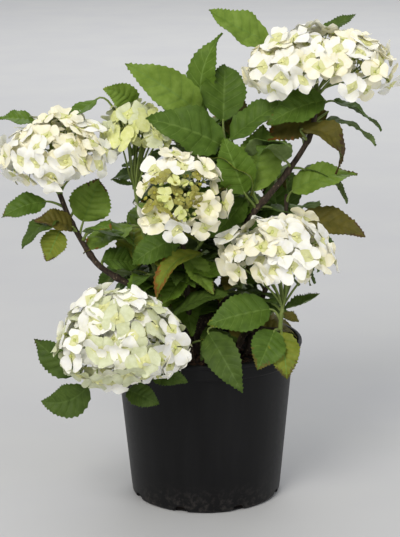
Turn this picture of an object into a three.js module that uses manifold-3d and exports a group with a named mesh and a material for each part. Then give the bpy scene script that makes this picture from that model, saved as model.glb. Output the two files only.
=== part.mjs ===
// Potted hydrangea shrub: a black nursery pot of compost, a short woody stool with canes that
// spread from it, six flower heads, the large single leaves and the masses of inner leaves.
// Millimetres, +Z up, +X to the right of the plant's front, -Y towards its front.
// The origin is the centre of the pot's flat underside.

import * as THREE from 'three';
import { mergeVertices } from 'three/addons/utils/BufferGeometryUtils.js';
import Module from 'manifold-3d';

const wasm = await Module();
wasm.setup();

// ---- Driving dimensions ----

const GAP = 0.35;                 // clear space kept between neighbouring solids

const POT_HEIGHT = 155;
const POT_BASE_RADIUS = 73;
const POT_SHOULDER_RADIUS = 86;   // top of the tapering wall, under the rim band
const POT_RIM_RADIUS = 95;
const POT_WALL = 2;
const POT_BAND_HEIGHT = 17;       // stacking band under the lip
const POT_LIP_HEIGHT = 4;
const POT_SIDES = 36;
const POT_FOOT_CHAMFER = 5;
const DRAIN_COUNT = 8;
const DRAIN_WIDTH = 15;
const DRAIN_HEIGHT = 7;
const DRAIN_DEPTH = 12;
const DRAIN_TURN = 25;            // degrees from +X to the first drain notch

const COMPOST_TOP = 138;
const COMPOST_UNEVEN = 1.6;
const RECESS_FLOOR = COMPOST_TOP - 20;  // the wall is kept clear of from here up, inside the pot
const RECESS_CLEAR = 1.5;

const CANE_SIDES = 6;
const CANE_STEPS = 8;
const CANE_SUNK = 6;              // how far a cane starts below the compost before it is cut
const STOOL_HEIGHT = 43;
const STOOL_RADIUS = 13;

const BLADE_STEPS = 6;
const BLADE_THICKNESS = 2.2;
const BLADE_CREASE = 0.22;        // rise of the edges over the midrib, per unit of half width
const BLADE_END = 0.07;           // width of the blunt ends, as a share of the full width

const HEAD_SEGMENTS = [16, 9];
const MASS_SEGMENTS = [13, 8];
const HEAD_UNEVEN = 0.05;
const MASS_UNEVEN = 0.17;

// Canes: [name, foot radius, tip radius, points]. The first point stands on the compost.
const CANES = [
  ['cane_left_tall', 4.8, 2.8,
    [[-25, 6, 0], [-57, -4, 201], [-97, -10, 227], [-125, -12, 272], [-137, -10, 302]]],
  ['cane_right_tall', 5.0, 2.8,
    [[14, 12, 0], [18, 4, 200], [34, -2, 259], [72, -6, 310], [101, -8, 353], [108, -8, 396]]],
  ['cane_left_back', 3.2, 2.0,
    [[-16, 30, 0], [-38, 26, 190], [-56, 20, 245], [-65, 15, 292], [-67, 15, 334]]],
  ['cane_centre', 3.8, 2.4, [[-12, -14, 0], [-16, -18, 200], [-20, -26, 255], [-22, -38, 290]]],
  ['cane_right_low', 4.4, 3.0, [[24, -16, 0], [42, -33, 172], [60, -52, 177], [69, -62, 180]]],
  ['flower_stalk_right_low', 2.6, 2.2, [[71, -62, 184], [73, -62, 200], [73, -61, 219]]],
  ['cane_left_low', 4.2, 2.8, [[-26, -18, 0], [-46, -38, 176], [-58, -72, 182], [-66, -90, 180]]],
  ['cane_leafy', 4.0, 2.2,
    [[30, 14, 0], [34, 12, 195], [40, 8, 252], [42, 4, 292], [34, 6, 322], [22, 4, 346]]],
  ['cane_right_leafy', 3.8, 2.0, [[38, 2, 0], [56, 4, 192], [67, 6, 223], [78, 4, 262], [80, 4, 296]]],
  ['cane_back', 3.8, 2.0, [[2, 36, 0], [0, 58, 200], [-8, 76, 250], [-4, 80, 300]]],
];

// Flower heads: [name, centre, radii, tilt to the front, roll to the left], angles in degrees.
const HEADS = [
  ['flower_head_top_right', [113, -5, 421], [73, 58, 34], 4, 0],
  ['flower_head_left', [-138, -10, 341], [56, 50, 36], 8, -9],
  ['flower_head_young', [-63, 15, 358], [34, 30, 22], 0, 0],
  ['flower_head_centre', [-22, -62, 310], [46, 45, 27], 58, 0],
  ['flower_head_right', [69, -60, 254], [56, 46, 36], 8, 0],
  ['flower_head_low_left', [-78, -121, 190], [64, 50, 51], 30, 14],
];

// Single leaves: [name, blade base, blade tip, width, arch, lean, sway]. The midrib bows out of
// its chord by the arch, and to the blade's left by the sway. The lean is the angle of the upper
// face in degrees: 0 faces the front, 90 faces up.
const LEAVES = [
  ['leaf_upper_left', [-2, 6, 374], [-70, -8, 427], 37, 6, 30, 0],
  ['leaf_small_left', [-66, 17, 378], [-94, 8, 400], 24, 2, 10, -6],
  ['leaf_twisted', [-2, 20, 376], [21, 28, 449], 27, -4, 15, 9],
  ['leaf_top', [66, 15, 431], [9, 5, 476], 32, 2, 40, 0],
  ['leaf_upright', [21, 14, 366], [21, 40, 420], 42, 3, 5, 0],
  ['leaf_upper_right', [24, -2, 352], [82, 0, 388], 34, 5, 60, -3],
  ['leaf_upper_front', [18, -10, 346], [-50, -32, 380], 46, 5, 35, 0],
  ['leaf_shoot_left', [38, -10, 301], [21, -16, 356], 36, 4, 5, 0],
  ['leaf_shoot_right', [46, -5, 302], [60, 6, 364], 44, 4, 5, 0],
  ['leaf_right_mid', [84, -2, 302], [145, -8, 321], 32, 7, 45, 0],
  ['leaf_curled', [92, -20, 364], [134, -22, 326], 26, 20, 60, 0],
  ['leaf_under_top_a', [116, -16, 390], [60, -20, 370], 38, 6, 40, 0],
  ['leaf_under_top_b', [120, 6, 376], [58, 0, 352], 34, 4, 45, 0],
  ['leaf_right_high', [124, 6, 385], [173, 18, 357], 26, 3, 75, 0],
  ['leaf_behind_top', [104, 40, 430], [147, 48, 467], 14, 3, 55, 0],
  ['leaf_right_low', [93, 8, 274], [156, -6, 258], 30, 2, 55, 2],
  ['leaf_centre_left', [-21, -22, 260], [-70, -32, 240], 32, 5, 42, 0],
  ['leaf_narrow_left', [-110, -12, 266], [-60, -6, 250], 18, 5, 70, 0],
  ['leaf_mid_left', [-64, 2, 229], [-99, -10, 235], 28, 4, 50, 0],
  ['leaf_arching', [-2, -30, 248], [-49, -50, 209], 24, 16, 70, 0],
  ['leaf_over_pot', [62, -66, 203], [3, -80, 190], 37, 5, 32, 0],
  ['leaf_over_rim', [2, -74, 181], [34, -116, 138], 31, 5, 30, 0],
  ['leaf_low_right_a', [66, -76, 183], [47, -98, 152], 32, 4, 15, 0],
  ['leaf_low_right_b', [73, -74, 181], [75, -98, 142], 28, 4, 15, 0],
  ['leaf_left_top_a', [-157, 6, 364], [-192, -5, 378], 22, 3, 60, 0],
  ['leaf_left_top_b', [-155, 8, 365], [-101, 14, 391], 26, 3, 55, 0],
  ['leaf_left_edge', [-150, -10, 295], [-192, -24, 284], 24, 4, 50, 0],
  ['leaf_left_under', [-124, -16, 272], [-160, -30, 280], 26, 4, 45, 0],
  ['leaf_left_hanging', [-136, -24, 269], [-150, -36, 243], 24, 3, 15, 0],
  ['leaf_left_rising', [-114, -6, 274], [-101, 4, 314], 40, 4, 5, 0],
  ['leaf_low_left_a', [-120, -92, 146], [-158, -86, 181], 28, 3, 8, 0],
  ['leaf_low_left_b', [-109, -97, 136], [-153, -101, 126], 31, 3, 10, 7],
  ['leaf_low_left_c', [-72, -108, 138], [-43, -119, 126], 21, 3, 25, 0],
  ['leaf_low_left_d', [-50, -104, 156], [-17, -118, 146], 28, 3, 20, 0],
];

// Masses of inner and rear leaves: [name, centre, radii, turn about the upright in degrees].
const MASSES = [
  ['foliage_core', [12, -8, 264], [32, 20, 28], 10],
  ['foliage_core_low', [-30, 14, 215], [30, 24, 20], -20],
  ['foliage_back_high', [6, 64, 334], [50, 32, 34], 5],
  ['foliage_back_left', [-28, 84, 284], [34, 34, 30], 25],
  ['foliage_back_right', [76, 76, 250], [34, 34, 26], -20],
  ['foliage_back_low_left', [-42, 96, 216], [32, 42, 22], 30],
  ['foliage_back_low_right', [38, 104, 222], [38, 38, 24], -25],
];

const COLOURS = {
  pot: [0x1c1c1d, 0.5],
  compost: [0x3a2a1f, 1.0],
  cane: [0x4a382a, 0.85],
  head: [0xf3f0de, 0.8],
  youngHead: [0xdfe07c, 0.8],
  leaf: [0x47762b, 0.6],
  mass: [0x365d22, 0.7],
};

// ---- Solids and the parts tree ----

const group = new THREE.Group();
const toRadians = THREE.MathUtils.degToRad;

function bare(geometry) {
  const copy = geometry.index ? geometry.toNonIndexed() : geometry.clone();
  for (const name of ['normal', 'uv']) copy.deleteAttribute(name);
  copy.clearGroups();
  return mergeVertices(copy, 1e-4);
}

function solidOf(geometry) {
  const merged = bare(geometry);
  const mesh = new wasm.Mesh({
    numProp: 3,
    vertProperties: new Float32Array(merged.attributes.position.array),
    triVerts: new Uint32Array(merged.index.array),
  });
  return new wasm.Manifold(mesh);
}

function geometryOf(solid) {
  const { vertProperties, triVerts } = solid.getMesh();
  const geometry = new THREE.BufferGeometry();
  geometry.setAttribute('position', new THREE.BufferAttribute(vertProperties, 3));
  geometry.setIndex(new THREE.BufferAttribute(triVerts, 1));
  geometry.computeVertexNormals();
  return geometry;
}

function largestBody(solid) {
  const bodies = solid.decompose();
  return bodies.reduce((best, body) => (body.volume() > best.volume() ? body : best));
}

function addPart(name, geometry, [color, roughness]) {
  const material = new THREE.MeshStandardMaterial({ color, roughness, metalness: 0 });
  const mesh = new THREE.Mesh(geometry, material);
  mesh.name = name;
  group.add(mesh);
}

// What later solids are cut clear of: each earlier solid, grown by the gap.
const keepClear = [];

function cutClear(geometry) {
  const solid = solidOf(geometry);
  const near = keepClear.filter((other) => solid.intersect(other).volume() > 0);
  if (near.length === 0) return bare(geometry);
  return geometryOf(largestBody(near.reduce((left, other) => left.subtract(other), solid)));
}

// ---- Pot and compost ----

const POT_SHOULDER_HEIGHT = POT_HEIGHT - POT_BAND_HEIGHT;
const POT_BAND_RADIUS = POT_RIM_RADIUS - 2;
const POT_LIP_BOTTOM = POT_HEIGHT - POT_LIP_HEIGHT;

function wallRadius(z) {
  return THREE.MathUtils.mapLinear(z, 0, POT_SHOULDER_HEIGHT, POT_BASE_RADIUS, POT_SHOULDER_RADIUS);
}

function lathe(profile, segments) {
  const geometry = new THREE.LatheGeometry(profile.map(([r, z]) => new THREE.Vector2(r, z)), segments);
  return geometry.rotateX(Math.PI / 2);
}

function potOutline(grow) {
  return [
    [0, -grow],
    [POT_BASE_RADIUS - POT_FOOT_CHAMFER + grow, -grow],
    [wallRadius(POT_FOOT_CHAMFER) + grow, POT_FOOT_CHAMFER - grow],
    [POT_SHOULDER_RADIUS + grow, POT_SHOULDER_HEIGHT - grow],
    [POT_BAND_RADIUS + grow, POT_SHOULDER_HEIGHT + 3 - grow],
    [POT_BAND_RADIUS + grow, POT_LIP_BOTTOM - 1 - grow],
    [POT_RIM_RADIUS + grow, POT_LIP_BOTTOM - grow],
    [POT_RIM_RADIUS + grow, POT_HEIGHT - 1 + grow],
  ];
}

function buildPot() {
  const outer = potOutline(0);
  const inner = [
    [POT_RIM_RADIUS - 1, POT_HEIGHT],
    [POT_BAND_RADIUS - POT_WALL, POT_HEIGHT],
    [POT_BAND_RADIUS - POT_WALL, POT_SHOULDER_HEIGHT + 3],
    [POT_SHOULDER_RADIUS - POT_WALL, POT_SHOULDER_HEIGHT],
    [wallRadius(POT_FOOT_CHAMFER) - POT_WALL, POT_FOOT_CHAMFER],
    [wallRadius(POT_FOOT_CHAMFER) - POT_WALL - 3, POT_WALL],
    [0, POT_WALL],
  ];
  let pot = solidOf(lathe([...outer, ...inner], POT_SIDES));
  for (let i = 0; i < DRAIN_COUNT; i += 1) {
    const notch = new THREE.BoxGeometry(DRAIN_DEPTH, DRAIN_WIDTH, DRAIN_HEIGHT * 2);
    notch.translate(POT_BASE_RADIUS, 0, 0);
    notch.rotateZ(toRadians(DRAIN_TURN) + (2 * Math.PI * i) / DRAIN_COUNT);
    pot = pot.subtract(solidOf(notch));
  }
  addPart('pot', geometryOf(pot), COLOURS.pot);

  const inside = POT_SHOULDER_RADIUS - POT_WALL - RECESS_CLEAR;
  const recess = [
    [POT_RIM_RADIUS + GAP, POT_HEIGHT + GAP],
    [inside, POT_HEIGHT + GAP],
    [inside, RECESS_FLOOR],
    [0, RECESS_FLOOR],
  ];
  keepClear.push(solidOf(lathe([...potOutline(GAP), ...recess], POT_SIDES)));
}

function buildCompost() {
  const floor = POT_WALL + GAP;
  const inside = (z) => wallRadius(z) - POT_WALL - GAP - 0.4;
  const top = COMPOST_TOP;
  const profile = [
    [0, floor],
    [inside(POT_FOOT_CHAMFER) - 4, floor],
    [inside(POT_FOOT_CHAMFER), POT_FOOT_CHAMFER + 1],
    [inside(top - 5), top - 5],
    [inside(top - 5) - 5, top - 1],
    [inside(top) * 0.7, top],
    [inside(top) * 0.4, top],
    [0, top],
  ];
  const geometry = bare(lathe(profile, POT_SIDES / 2));
  const places = geometry.attributes.position;
  for (let i = 0; i < places.count; i += 1) {
    if (places.getZ(i) < top - 2) continue;
    const bump = Math.sin(places.getX(i) / 9) + Math.cos(places.getY(i) / 7 + 1);
    places.setZ(i, places.getZ(i) - COMPOST_UNEVEN * (1 + bump / 2));
  }
  addPart('compost', geometry, COLOURS.compost);
  keepClear.push(solidOf(geometry.clone().translate(0, 0, GAP)));
}

// ---- Canes: tapering limbs along smooth curves ----

function limb(points, footRadius, tipRadius, grow) {
  const curve = new THREE.CatmullRomCurve3(points.map((p) => new THREE.Vector3(...p)));
  const frames = curve.computeFrenetFrames(CANE_STEPS, false);
  const geometry = bare(new THREE.CylinderGeometry(1, 1, 1, CANE_SIDES, CANE_STEPS));
  const places = geometry.attributes.position;
  const spot = new THREE.Vector3();
  for (let i = 0; i < places.count; i += 1) {
    const across = spot.fromBufferAttribute(places, i).clone();
    const step = Math.round((across.y + 0.5) * CANE_STEPS);
    const along = step / CANE_STEPS;
    const radius = THREE.MathUtils.lerp(footRadius, tipRadius, along) + grow;
    curve.getPointAt(along, spot);
    spot.addScaledVector(frames.normals[step], across.z * radius);
    spot.addScaledVector(frames.binormals[step], across.x * radius);
    if (step === 0) spot.addScaledVector(frames.tangents[0], -grow);
    if (step === CANE_STEPS) spot.addScaledVector(frames.tangents[step], grow);
    places.setXYZ(i, spot.x, spot.y, spot.z);
  }
  return geometry;
}

function buildCanes() {
  const foot = COMPOST_TOP - CANE_SUNK;
  const stool = [[0, 6, foot], [1, 7, foot + STOOL_HEIGHT / 2], [-1, 8, foot + STOOL_HEIGHT]];
  addPart('stool', cutClear(limb(stool, STOOL_RADIUS, STOOL_RADIUS * 0.6, 0)), COLOURS.cane);
  keepClear.push(solidOf(limb(stool, STOOL_RADIUS, STOOL_RADIUS * 0.6, GAP)));
  for (const [name, footRadius, tipRadius, points] of CANES) {
    const path = points.map(([x, y, z]) => [x, y, z || foot]);
    addPart(name, cutClear(limb(path, footRadius, tipRadius, 0)), COLOURS.cane);
    keepClear.push(solidOf(limb(path, footRadius, tipRadius, GAP)));
  }
}

// ---- Flower heads and masses: uneven closed domes ----

function dome([across, deep, high], [around, down], uneven, flat, grow) {
  const geometry = bare(new THREE.SphereGeometry(1, around, down).rotateX(Math.PI / 2));
  const places = geometry.attributes.position;
  const spot = new THREE.Vector3();
  for (let i = 0; i < places.count; i += 1) {
    spot.fromBufferAttribute(places, i);
    const turn = Math.atan2(spot.y, spot.x);
    const lobes = Math.sin(3 * turn + across) + Math.sin(5 * turn - deep + 4 * spot.z);
    const size = 1 + uneven * lobes * (1 - spot.z * spot.z);
    const height = (spot.z < 0 ? high * flat : high) + grow;
    places.setXYZ(i, spot.x * (across + grow) * size, spot.y * (deep + grow) * size, spot.z * height);
  }
  return geometry;
}

function buildHeads() {
  const placed = HEADS.map(([name, centre, radii, tilt, roll]) => {
    const shape = (grow) => dome(radii, HEAD_SEGMENTS, HEAD_UNEVEN, 0.85, grow)
      .rotateX(toRadians(tilt)).rotateY(toRadians(roll)).translate(...centre);
    return { name, shape };
  });
  for (const { name, shape } of placed) {
    const colour = name === 'flower_head_young' ? COLOURS.youngHead : COLOURS.head;
    addPart(name, cutClear(shape(0)), colour);
    keepClear.push(solidOf(shape(GAP)));
  }
}

// ---- Leaves: creased blades with an ovate outline ----

function bladeWidth(along) {
  const outline = Math.sin(Math.PI * along ** 0.8) ** 0.95;
  return Math.max(outline, BLADE_END);
}

function blade([base, tip, width, arch, lean, sway], grow) {
  const start = new THREE.Vector3(...base);
  const along = new THREE.Vector3(...tip).sub(start);
  const length = along.length();
  along.normalize();
  const faceUp = new THREE.Vector3(0, -Math.cos(toRadians(lean)), Math.sin(toRadians(lean)));
  faceUp.addScaledVector(along, -faceUp.dot(along)).normalize();
  const side = new THREE.Vector3().crossVectors(faceUp, along);
  const geometry = bare(new THREE.BoxGeometry(1, 1, 1, BLADE_STEPS, 2, 1));
  const places = geometry.attributes.position;
  for (let i = 0; i < places.count; i += 1) {
    const step = places.getX(i) + 0.5;
    const across = places.getY(i) * 2;
    const reach = bladeWidth(Math.min(Math.max(step, 0), 1)) * (width / 2);
    const bow = 4 * step * (1 - step);
    const rise = arch * bow + BLADE_CREASE * reach * Math.abs(across);
    const spot = start.clone()
      .addScaledVector(along, step * (length + 2 * grow) - grow)
      .addScaledVector(side, sway * bow + across * (reach + grow))
      .addScaledVector(faceUp, rise + places.getZ(i) * (BLADE_THICKNESS + 2 * grow));
    places.setXYZ(i, spot.x, spot.y, spot.z);
  }
  return geometry;
}

function buildLeaves() {
  for (const [name, ...sizes] of LEAVES) {
    addPart(name, cutClear(blade(sizes, 0)), COLOURS.leaf);
    keepClear.push(solidOf(blade(sizes, GAP)));
  }
}

function buildMasses() {
  for (const [name, centre, radii, turn] of MASSES) {
    const shape = (grow) => dome(radii, MASS_SEGMENTS, MASS_UNEVEN, 1, grow)
      .rotateZ(toRadians(turn)).translate(...centre);
    addPart(name, cutClear(shape(0)), COLOURS.mass);
    keepClear.push(solidOf(shape(GAP)));
  }
}

buildPot();
buildCompost();
buildHeads();
buildCanes();
buildLeaves();
buildMasses();

export default group;
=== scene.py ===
# %% [markdown]
# # A potted hydrangea shrub
# The plant stands in a black nursery pot. A few woody canes spread from a short stool in the
# compost, each one carries large toothed leaves in pairs, and six of them end in a domed head
# of cream flowers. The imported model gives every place: where each cane runs, where each leaf
# lies and how large each head is. This lesson dresses those plain solids as the living plant.

# %% Load the frame
import math

import bpy
import numpy as np
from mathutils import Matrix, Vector


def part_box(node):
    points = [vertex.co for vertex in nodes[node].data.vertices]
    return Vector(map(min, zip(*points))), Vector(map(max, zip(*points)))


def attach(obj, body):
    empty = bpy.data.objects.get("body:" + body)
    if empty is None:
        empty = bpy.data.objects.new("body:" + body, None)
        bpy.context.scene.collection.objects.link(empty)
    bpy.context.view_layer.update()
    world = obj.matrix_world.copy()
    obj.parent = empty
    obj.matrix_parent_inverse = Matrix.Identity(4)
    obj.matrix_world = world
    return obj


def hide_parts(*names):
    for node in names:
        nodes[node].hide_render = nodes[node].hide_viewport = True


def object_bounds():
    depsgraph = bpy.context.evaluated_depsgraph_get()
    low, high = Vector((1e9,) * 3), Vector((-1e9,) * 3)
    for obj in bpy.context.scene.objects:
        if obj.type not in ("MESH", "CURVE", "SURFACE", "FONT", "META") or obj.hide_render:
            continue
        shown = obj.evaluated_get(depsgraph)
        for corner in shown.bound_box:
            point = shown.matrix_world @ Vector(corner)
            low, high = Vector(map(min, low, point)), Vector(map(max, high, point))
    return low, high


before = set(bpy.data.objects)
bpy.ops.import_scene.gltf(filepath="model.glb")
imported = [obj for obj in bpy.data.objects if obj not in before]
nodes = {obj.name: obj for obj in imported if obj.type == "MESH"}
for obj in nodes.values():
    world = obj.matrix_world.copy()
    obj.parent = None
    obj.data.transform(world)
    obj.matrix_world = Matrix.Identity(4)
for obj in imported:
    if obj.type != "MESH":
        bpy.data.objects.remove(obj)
CAD_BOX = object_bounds()
MM = 0.001
SEED = 11
print("nodes:", len(nodes), "box:", [round(v, 3) for corner in CAD_BOX for v in corner])

# %% [markdown]
# ## The camera
# A long lens at 1.7 m looks down on the pot at about fourteen degrees, as a nursery catalogue
# does, so that both the heads and the compost show. It is made first, so that each piece can
# be judged from it.

# %% Camera
CAMERA_PLACE = (-0.0039, -1.7066, 0.6467)
CAMERA_PITCH = math.radians(13.88)
CAMERA_ROLL = -0.010
LENS_MM = 121.56
SENSOR_MM = 36

camera_data = bpy.data.cameras.new("catalogue camera")
camera_data.lens = LENS_MM
camera_data.sensor_width = SENSOR_MM
camera = bpy.data.objects.new("catalogue camera", camera_data)
camera.location = CAMERA_PLACE
camera.rotation_euler = (math.pi / 2 - CAMERA_PITCH, 0, 0)
camera.rotation_euler.rotate_axis("Z", CAMERA_ROLL)
bpy.context.scene.collection.objects.link(camera)
bpy.context.scene.camera = camera
bpy.context.scene.view_settings.view_transform = "Standard"
print("camera looks down by", round(math.degrees(CAMERA_PITCH), 1), "degrees")

# %% [markdown]
# ## Helpers for materials
# Every finish is a small tree of shader nodes. One function adds a node with its settings and
# its links, for shader and geometry trees alike, and one turns the colours, which are written
# as they are seen on a screen, into the linear values that light is worked out in.

# %% Colour and node helpers
def linear(hex_colour):
    channels = [int(hex_colour[i:i + 2], 16) / 255 for i in (1, 3, 5)]
    return [c / 12.92 if c < 0.04045 else ((c + 0.055) / 1.055) ** 2.4 for c in channels] + [1.0]


def add_node(tree, kind, inputs=None, **settings):
    node = tree.nodes.new(kind)
    for name, value in settings.items():
        setattr(node, name, value)
    for socket, value in (inputs or {}).items():
        if isinstance(value, bpy.types.NodeSocket):
            tree.links.new(value, node.inputs[socket])
        else:
            node.inputs[socket].default_value = value
    return node


def new_material(name):
    material = bpy.data.materials.new(name)
    material.use_nodes = True
    tree = material.node_tree
    tree.nodes.clear()
    place = add_node(tree, "ShaderNodeTexCoord").outputs["Object"]
    return material, tree, place


def patchy_colour(tree, place, patch_mm, colours, detail=4.0, stretch=(1, 1, 1)):
    """Patches of the given colours, each patch about so many millimetres across."""
    spot = add_node(tree, "ShaderNodeMapping", {"Vector": place, "Scale": stretch}).outputs[0]
    noise = add_node(tree, "ShaderNodeTexNoise", {
        "Vector": spot, "Scale": 1 / (patch_mm * MM), "Detail": detail, "Roughness": 0.6})
    ramp = add_node(tree, "ShaderNodeValToRGB", {"Fac": noise.outputs["Fac"]})
    stops = ramp.color_ramp.elements
    while len(stops) < len(colours):
        stops.new(0.5)
    for i, colour in enumerate(colours):
        stops[i].position = 0.3 + 0.4 * i / (len(colours) - 1)
        stops[i].color = linear(colour)
    return ramp.outputs["Color"], noise.outputs["Fac"]


def finish_material(tree, surface):
    add_node(tree, "ShaderNodeOutputMaterial", {"Surface": surface.outputs[0]})


def bump(tree, height, depth_mm, strength=1.0):
    return add_node(tree, "ShaderNodeBump", {
        "Height": height, "Distance": depth_mm * MM, "Strength": strength}).outputs["Normal"]


print("mid grey in linear light:", round(linear("#808080")[0], 3))

# %% [markdown]
# ## Plant finishes
# A hydrangea leaf is matt and a little leathery. Its green shifts in patches of a centimetre or
# so, and fine cells break up its shine. The plain noise stays weak on purpose: the veins and
# the quilting between them are real shape, made further down. Each whole leaf has its own green,
# partly because a plant never has one and partly as painted light and shade: the greens from
# light through fresh, mid and deep to shade are one green, painted lighter for a leaf that should
# look lit and darker for one that should look shaded.
#
# The petals are really sepals: thin, matt, cream, a little green at the claw. Light passes
# through them, so a small share of subsurface scattering lets them glow softly. Buds and green
# stalks are firmer and smoother, and catch a faint highlight.

# %% Leaf, petal and stem materials
def plant_material(name, colours, patch_mm, roughness, relief_mm, glow=0.0, shine=0.2):
    """Soft plant skin: patches of colour, a fine grain of cells and a low, broad highlight."""
    material, tree, place = new_material(name)
    colour, _ = patchy_colour(tree, place, patch_mm, colours)
    cells = add_node(tree, "ShaderNodeTexNoise", {
        "Vector": place, "Scale": 1 / (1.4 * MM), "Detail": 2.0})
    surface = add_node(tree, "ShaderNodeBsdfPrincipled", {
        "Base Color": colour, "Roughness": roughness, "IOR": 1.42, "Specular IOR Level": shine,
        "Subsurface Weight": glow, "Subsurface Scale": 0.004,
        "Subsurface Radius": (1.0, 1.0, 0.85),
        "Normal": bump(tree, cells.outputs["Fac"], relief_mm, 0.6)})
    finish_material(tree, surface)
    return material


# The greens from light through fresh, mid and deep to shade, and their vein greens, are one leaf green
# as painted light and shade: lighter for a lit leaf, darker for a shaded one. Yellowing, bronze, rust,
# brown and underside are the leaves' own colours.
LEAF_GREENS = {
    "light": ["#627b2a", "#6d8633", "#79913e"],
    "fresh": ["#4c651c", "#557022", "#627b2c"],
    "mid": ["#42591b", "#4b6421", "#566e29"],
    "deep": ["#3b4e1c", "#445821", "#4e6227"],
    "shade": ["#2b3916", "#34431b", "#3e4f21"],
    "yellowing": ["#646e20", "#717a27", "#808832"],
    "bronze": ["#504e1f", "#5a5421", "#665f28"],
    "rust": ["#6e491f", "#7f5523", "#8f6529"],
    "brown": ["#40301c", "#4f3d21", "#604a29"],
    "vein": ["#5f7a2d", "#688336", "#728c40"],
    "vein_mid": ["#526a27", "#5b732f", "#647c38"],
    "vein_deep": ["#475c25", "#50652c", "#5a6f35"],
    "underside": ["#6a7d48", "#758852", "#81935e"],
}
# Lit greens get lighter veins and shaded greens deeper ones, as painted light and shade.
VEIN_OF = {"light": "vein", "fresh": "vein", "mid": "vein_mid", "deep": "vein_deep",
           "shade": "vein_deep", "yellowing": "vein", "bronze": "bronze"}
leaf_materials = {
    name: plant_material("hydrangea_leaf_" + name, colours, 9, 0.55, 0.18)
    for name, colours in LEAF_GREENS.items()
}
SEPAL = {"patch_mm": 7, "roughness": 0.6, "relief_mm": 0.12, "glow": 0.15}
SMALL_SEPAL = {"patch_mm": 5, "roughness": 0.6, "relief_mm": 0.1, "glow": 0.2}
BUD = {"patch_mm": 3, "roughness": 0.5, "relief_mm": 0.08}
petal_cream = plant_material("sepal_cream", ["#f7f1c8", "#fbf5d8", "#fdfae8"], **SEPAL)
petal_white = plant_material("sepal_white", ["#fbf9e6", "#fdfbf0", "#fefdf8"], **SEPAL)
# Greenish cream sepals: partly the florets' own green, and partly painted shade, a darker cream that
# stands for the shade lying on the low left head.
petal_green_and_shade = plant_material(
    "sepal_greenish_and_painted_shade", ["#cfd3a4", "#dadeb4", "#e6e9c8"], **dict(SEPAL, patch_mm=6))
petal_claw = plant_material(
    "sepal_claw", ["#dcdc92", "#e4e4a2", "#ecebb2"], **dict(SMALL_SEPAL, patch_mm=4))
petal_olive = plant_material("sepal_olive", ["#857f32", "#9a9544", "#b3ae5a"], **SMALL_SEPAL)
petal_young = plant_material("sepal_young", ["#dfe38a", "#e8eb9c", "#f0f2b2"], **SMALL_SEPAL)
bud_green = plant_material("bud_green", ["#aab25a", "#bcc26e", "#ced384"], **BUD)
bud_olive = plant_material("bud_olive", ["#8a842e", "#a09a3c", "#b6b04e"], **BUD)
stalk_green = plant_material("stalk_green", ["#66783a", "#788848", "#8a9856"], 12, 0.45, 0.1)
print("plant materials:", ", ".join(m.name for m in bpy.data.materials))

# %% [markdown]
# ## Bark, compost and pot finishes
# Last year's canes are grey-brown and thinly ridged along their length, with pale breathing
# pores. The compost is damp bark and peat, nearly black between its chips. The pot is
# injection-moulded polypropylene: black, satin, with a faint vertical drag of the mould, and
# dusty towards its foot, where splashed compost has dried on it.

# %% Bark, compost and pot materials
def bark_material():
    """Dark grey-brown ridges that run up the cane, with pale pores: it reads as dry and rough."""
    material, tree, place = new_material("hydrangea_bark")
    colour, ridges = patchy_colour(
        tree, place, 2.2, ["#211913", "#382c21", "#57483a"], 5.0, stretch=(1, 1, 0.22))
    pores = add_node(tree, "ShaderNodeTexVoronoi", {"Vector": place, "Scale": 1 / (4.5 * MM)})
    pale = add_node(tree, "ShaderNodeMath", {0: pores.outputs["Distance"], 1: 0.16},
                    operation="LESS_THAN")
    mixed = add_node(tree, "ShaderNodeMix", {
        "Factor": pale.outputs[0], "A": colour, "B": linear("#75664f")}, data_type="RGBA")
    surface = add_node(tree, "ShaderNodeBsdfPrincipled", {
        "Base Color": mixed.outputs["Result"], "Roughness": 0.82, "IOR": 1.45,
        "Normal": bump(tree, ridges, 0.5)})
    finish_material(tree, surface)
    return material


def compost_material(name, colours, chip_mm):
    """Damp and crumbly: it gives no highlight and is nearly black between its chips."""
    material, tree, place = new_material(name)
    colour, grain = patchy_colour(tree, place, chip_mm, colours, 8.0)
    surface = add_node(tree, "ShaderNodeBsdfPrincipled", {
        "Base Color": colour, "Roughness": 0.92, "IOR": 1.4,
        "Normal": bump(tree, grain, 1.0)})
    finish_material(tree, surface)
    return material


DUST_TOP_MM, DUST_FULL_MM = 30, 4


def pot_material():
    """Satin black with a faint vertical drag, and a dry grey crust that breaks up at the foot."""
    material, tree, place = new_material("moulded_polypropylene_black")
    colour, drag = patchy_colour(
        tree, place, 14, ["#0c0c0d", "#0f0f10", "#131314"], 3.0, stretch=(1, 1, 0.12))
    height = add_node(tree, "ShaderNodeSeparateXYZ", {"Vector": place}).outputs["Z"]
    low = add_node(tree, "ShaderNodeMapRange", {
        "Value": height, "From Min": DUST_TOP_MM * MM, "From Max": DUST_FULL_MM * MM})
    specks = add_node(tree, "ShaderNodeTexNoise", {
        "Vector": place, "Scale": 1 / (5 * MM), "Detail": 8.0, "Roughness": 0.7})
    crust = add_node(tree, "ShaderNodeMapRange", {
        "Value": specks.outputs["Fac"], "From Min": 0.48, "From Max": 0.72})
    dust = add_node(tree, "ShaderNodeMath", {
        0: low.outputs[0], 1: crust.outputs[0]}, operation="MULTIPLY")
    mixed = add_node(tree, "ShaderNodeMix", {
        "Factor": dust.outputs[0], "A": colour, "B": linear("#3f3b38")}, data_type="RGBA")
    roughness = add_node(tree, "ShaderNodeMapRange", {
        "Value": specks.outputs["Fac"], "To Min": 0.36, "To Max": 0.56})
    surface = add_node(tree, "ShaderNodeBsdfPrincipled", {
        "Base Color": mixed.outputs["Result"], "Roughness": roughness.outputs[0], "IOR": 1.49,
        "Specular IOR Level": 0.2,
        "Normal": bump(tree, drag, 0.12, 0.5)})
    finish_material(tree, surface)
    return material


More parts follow.
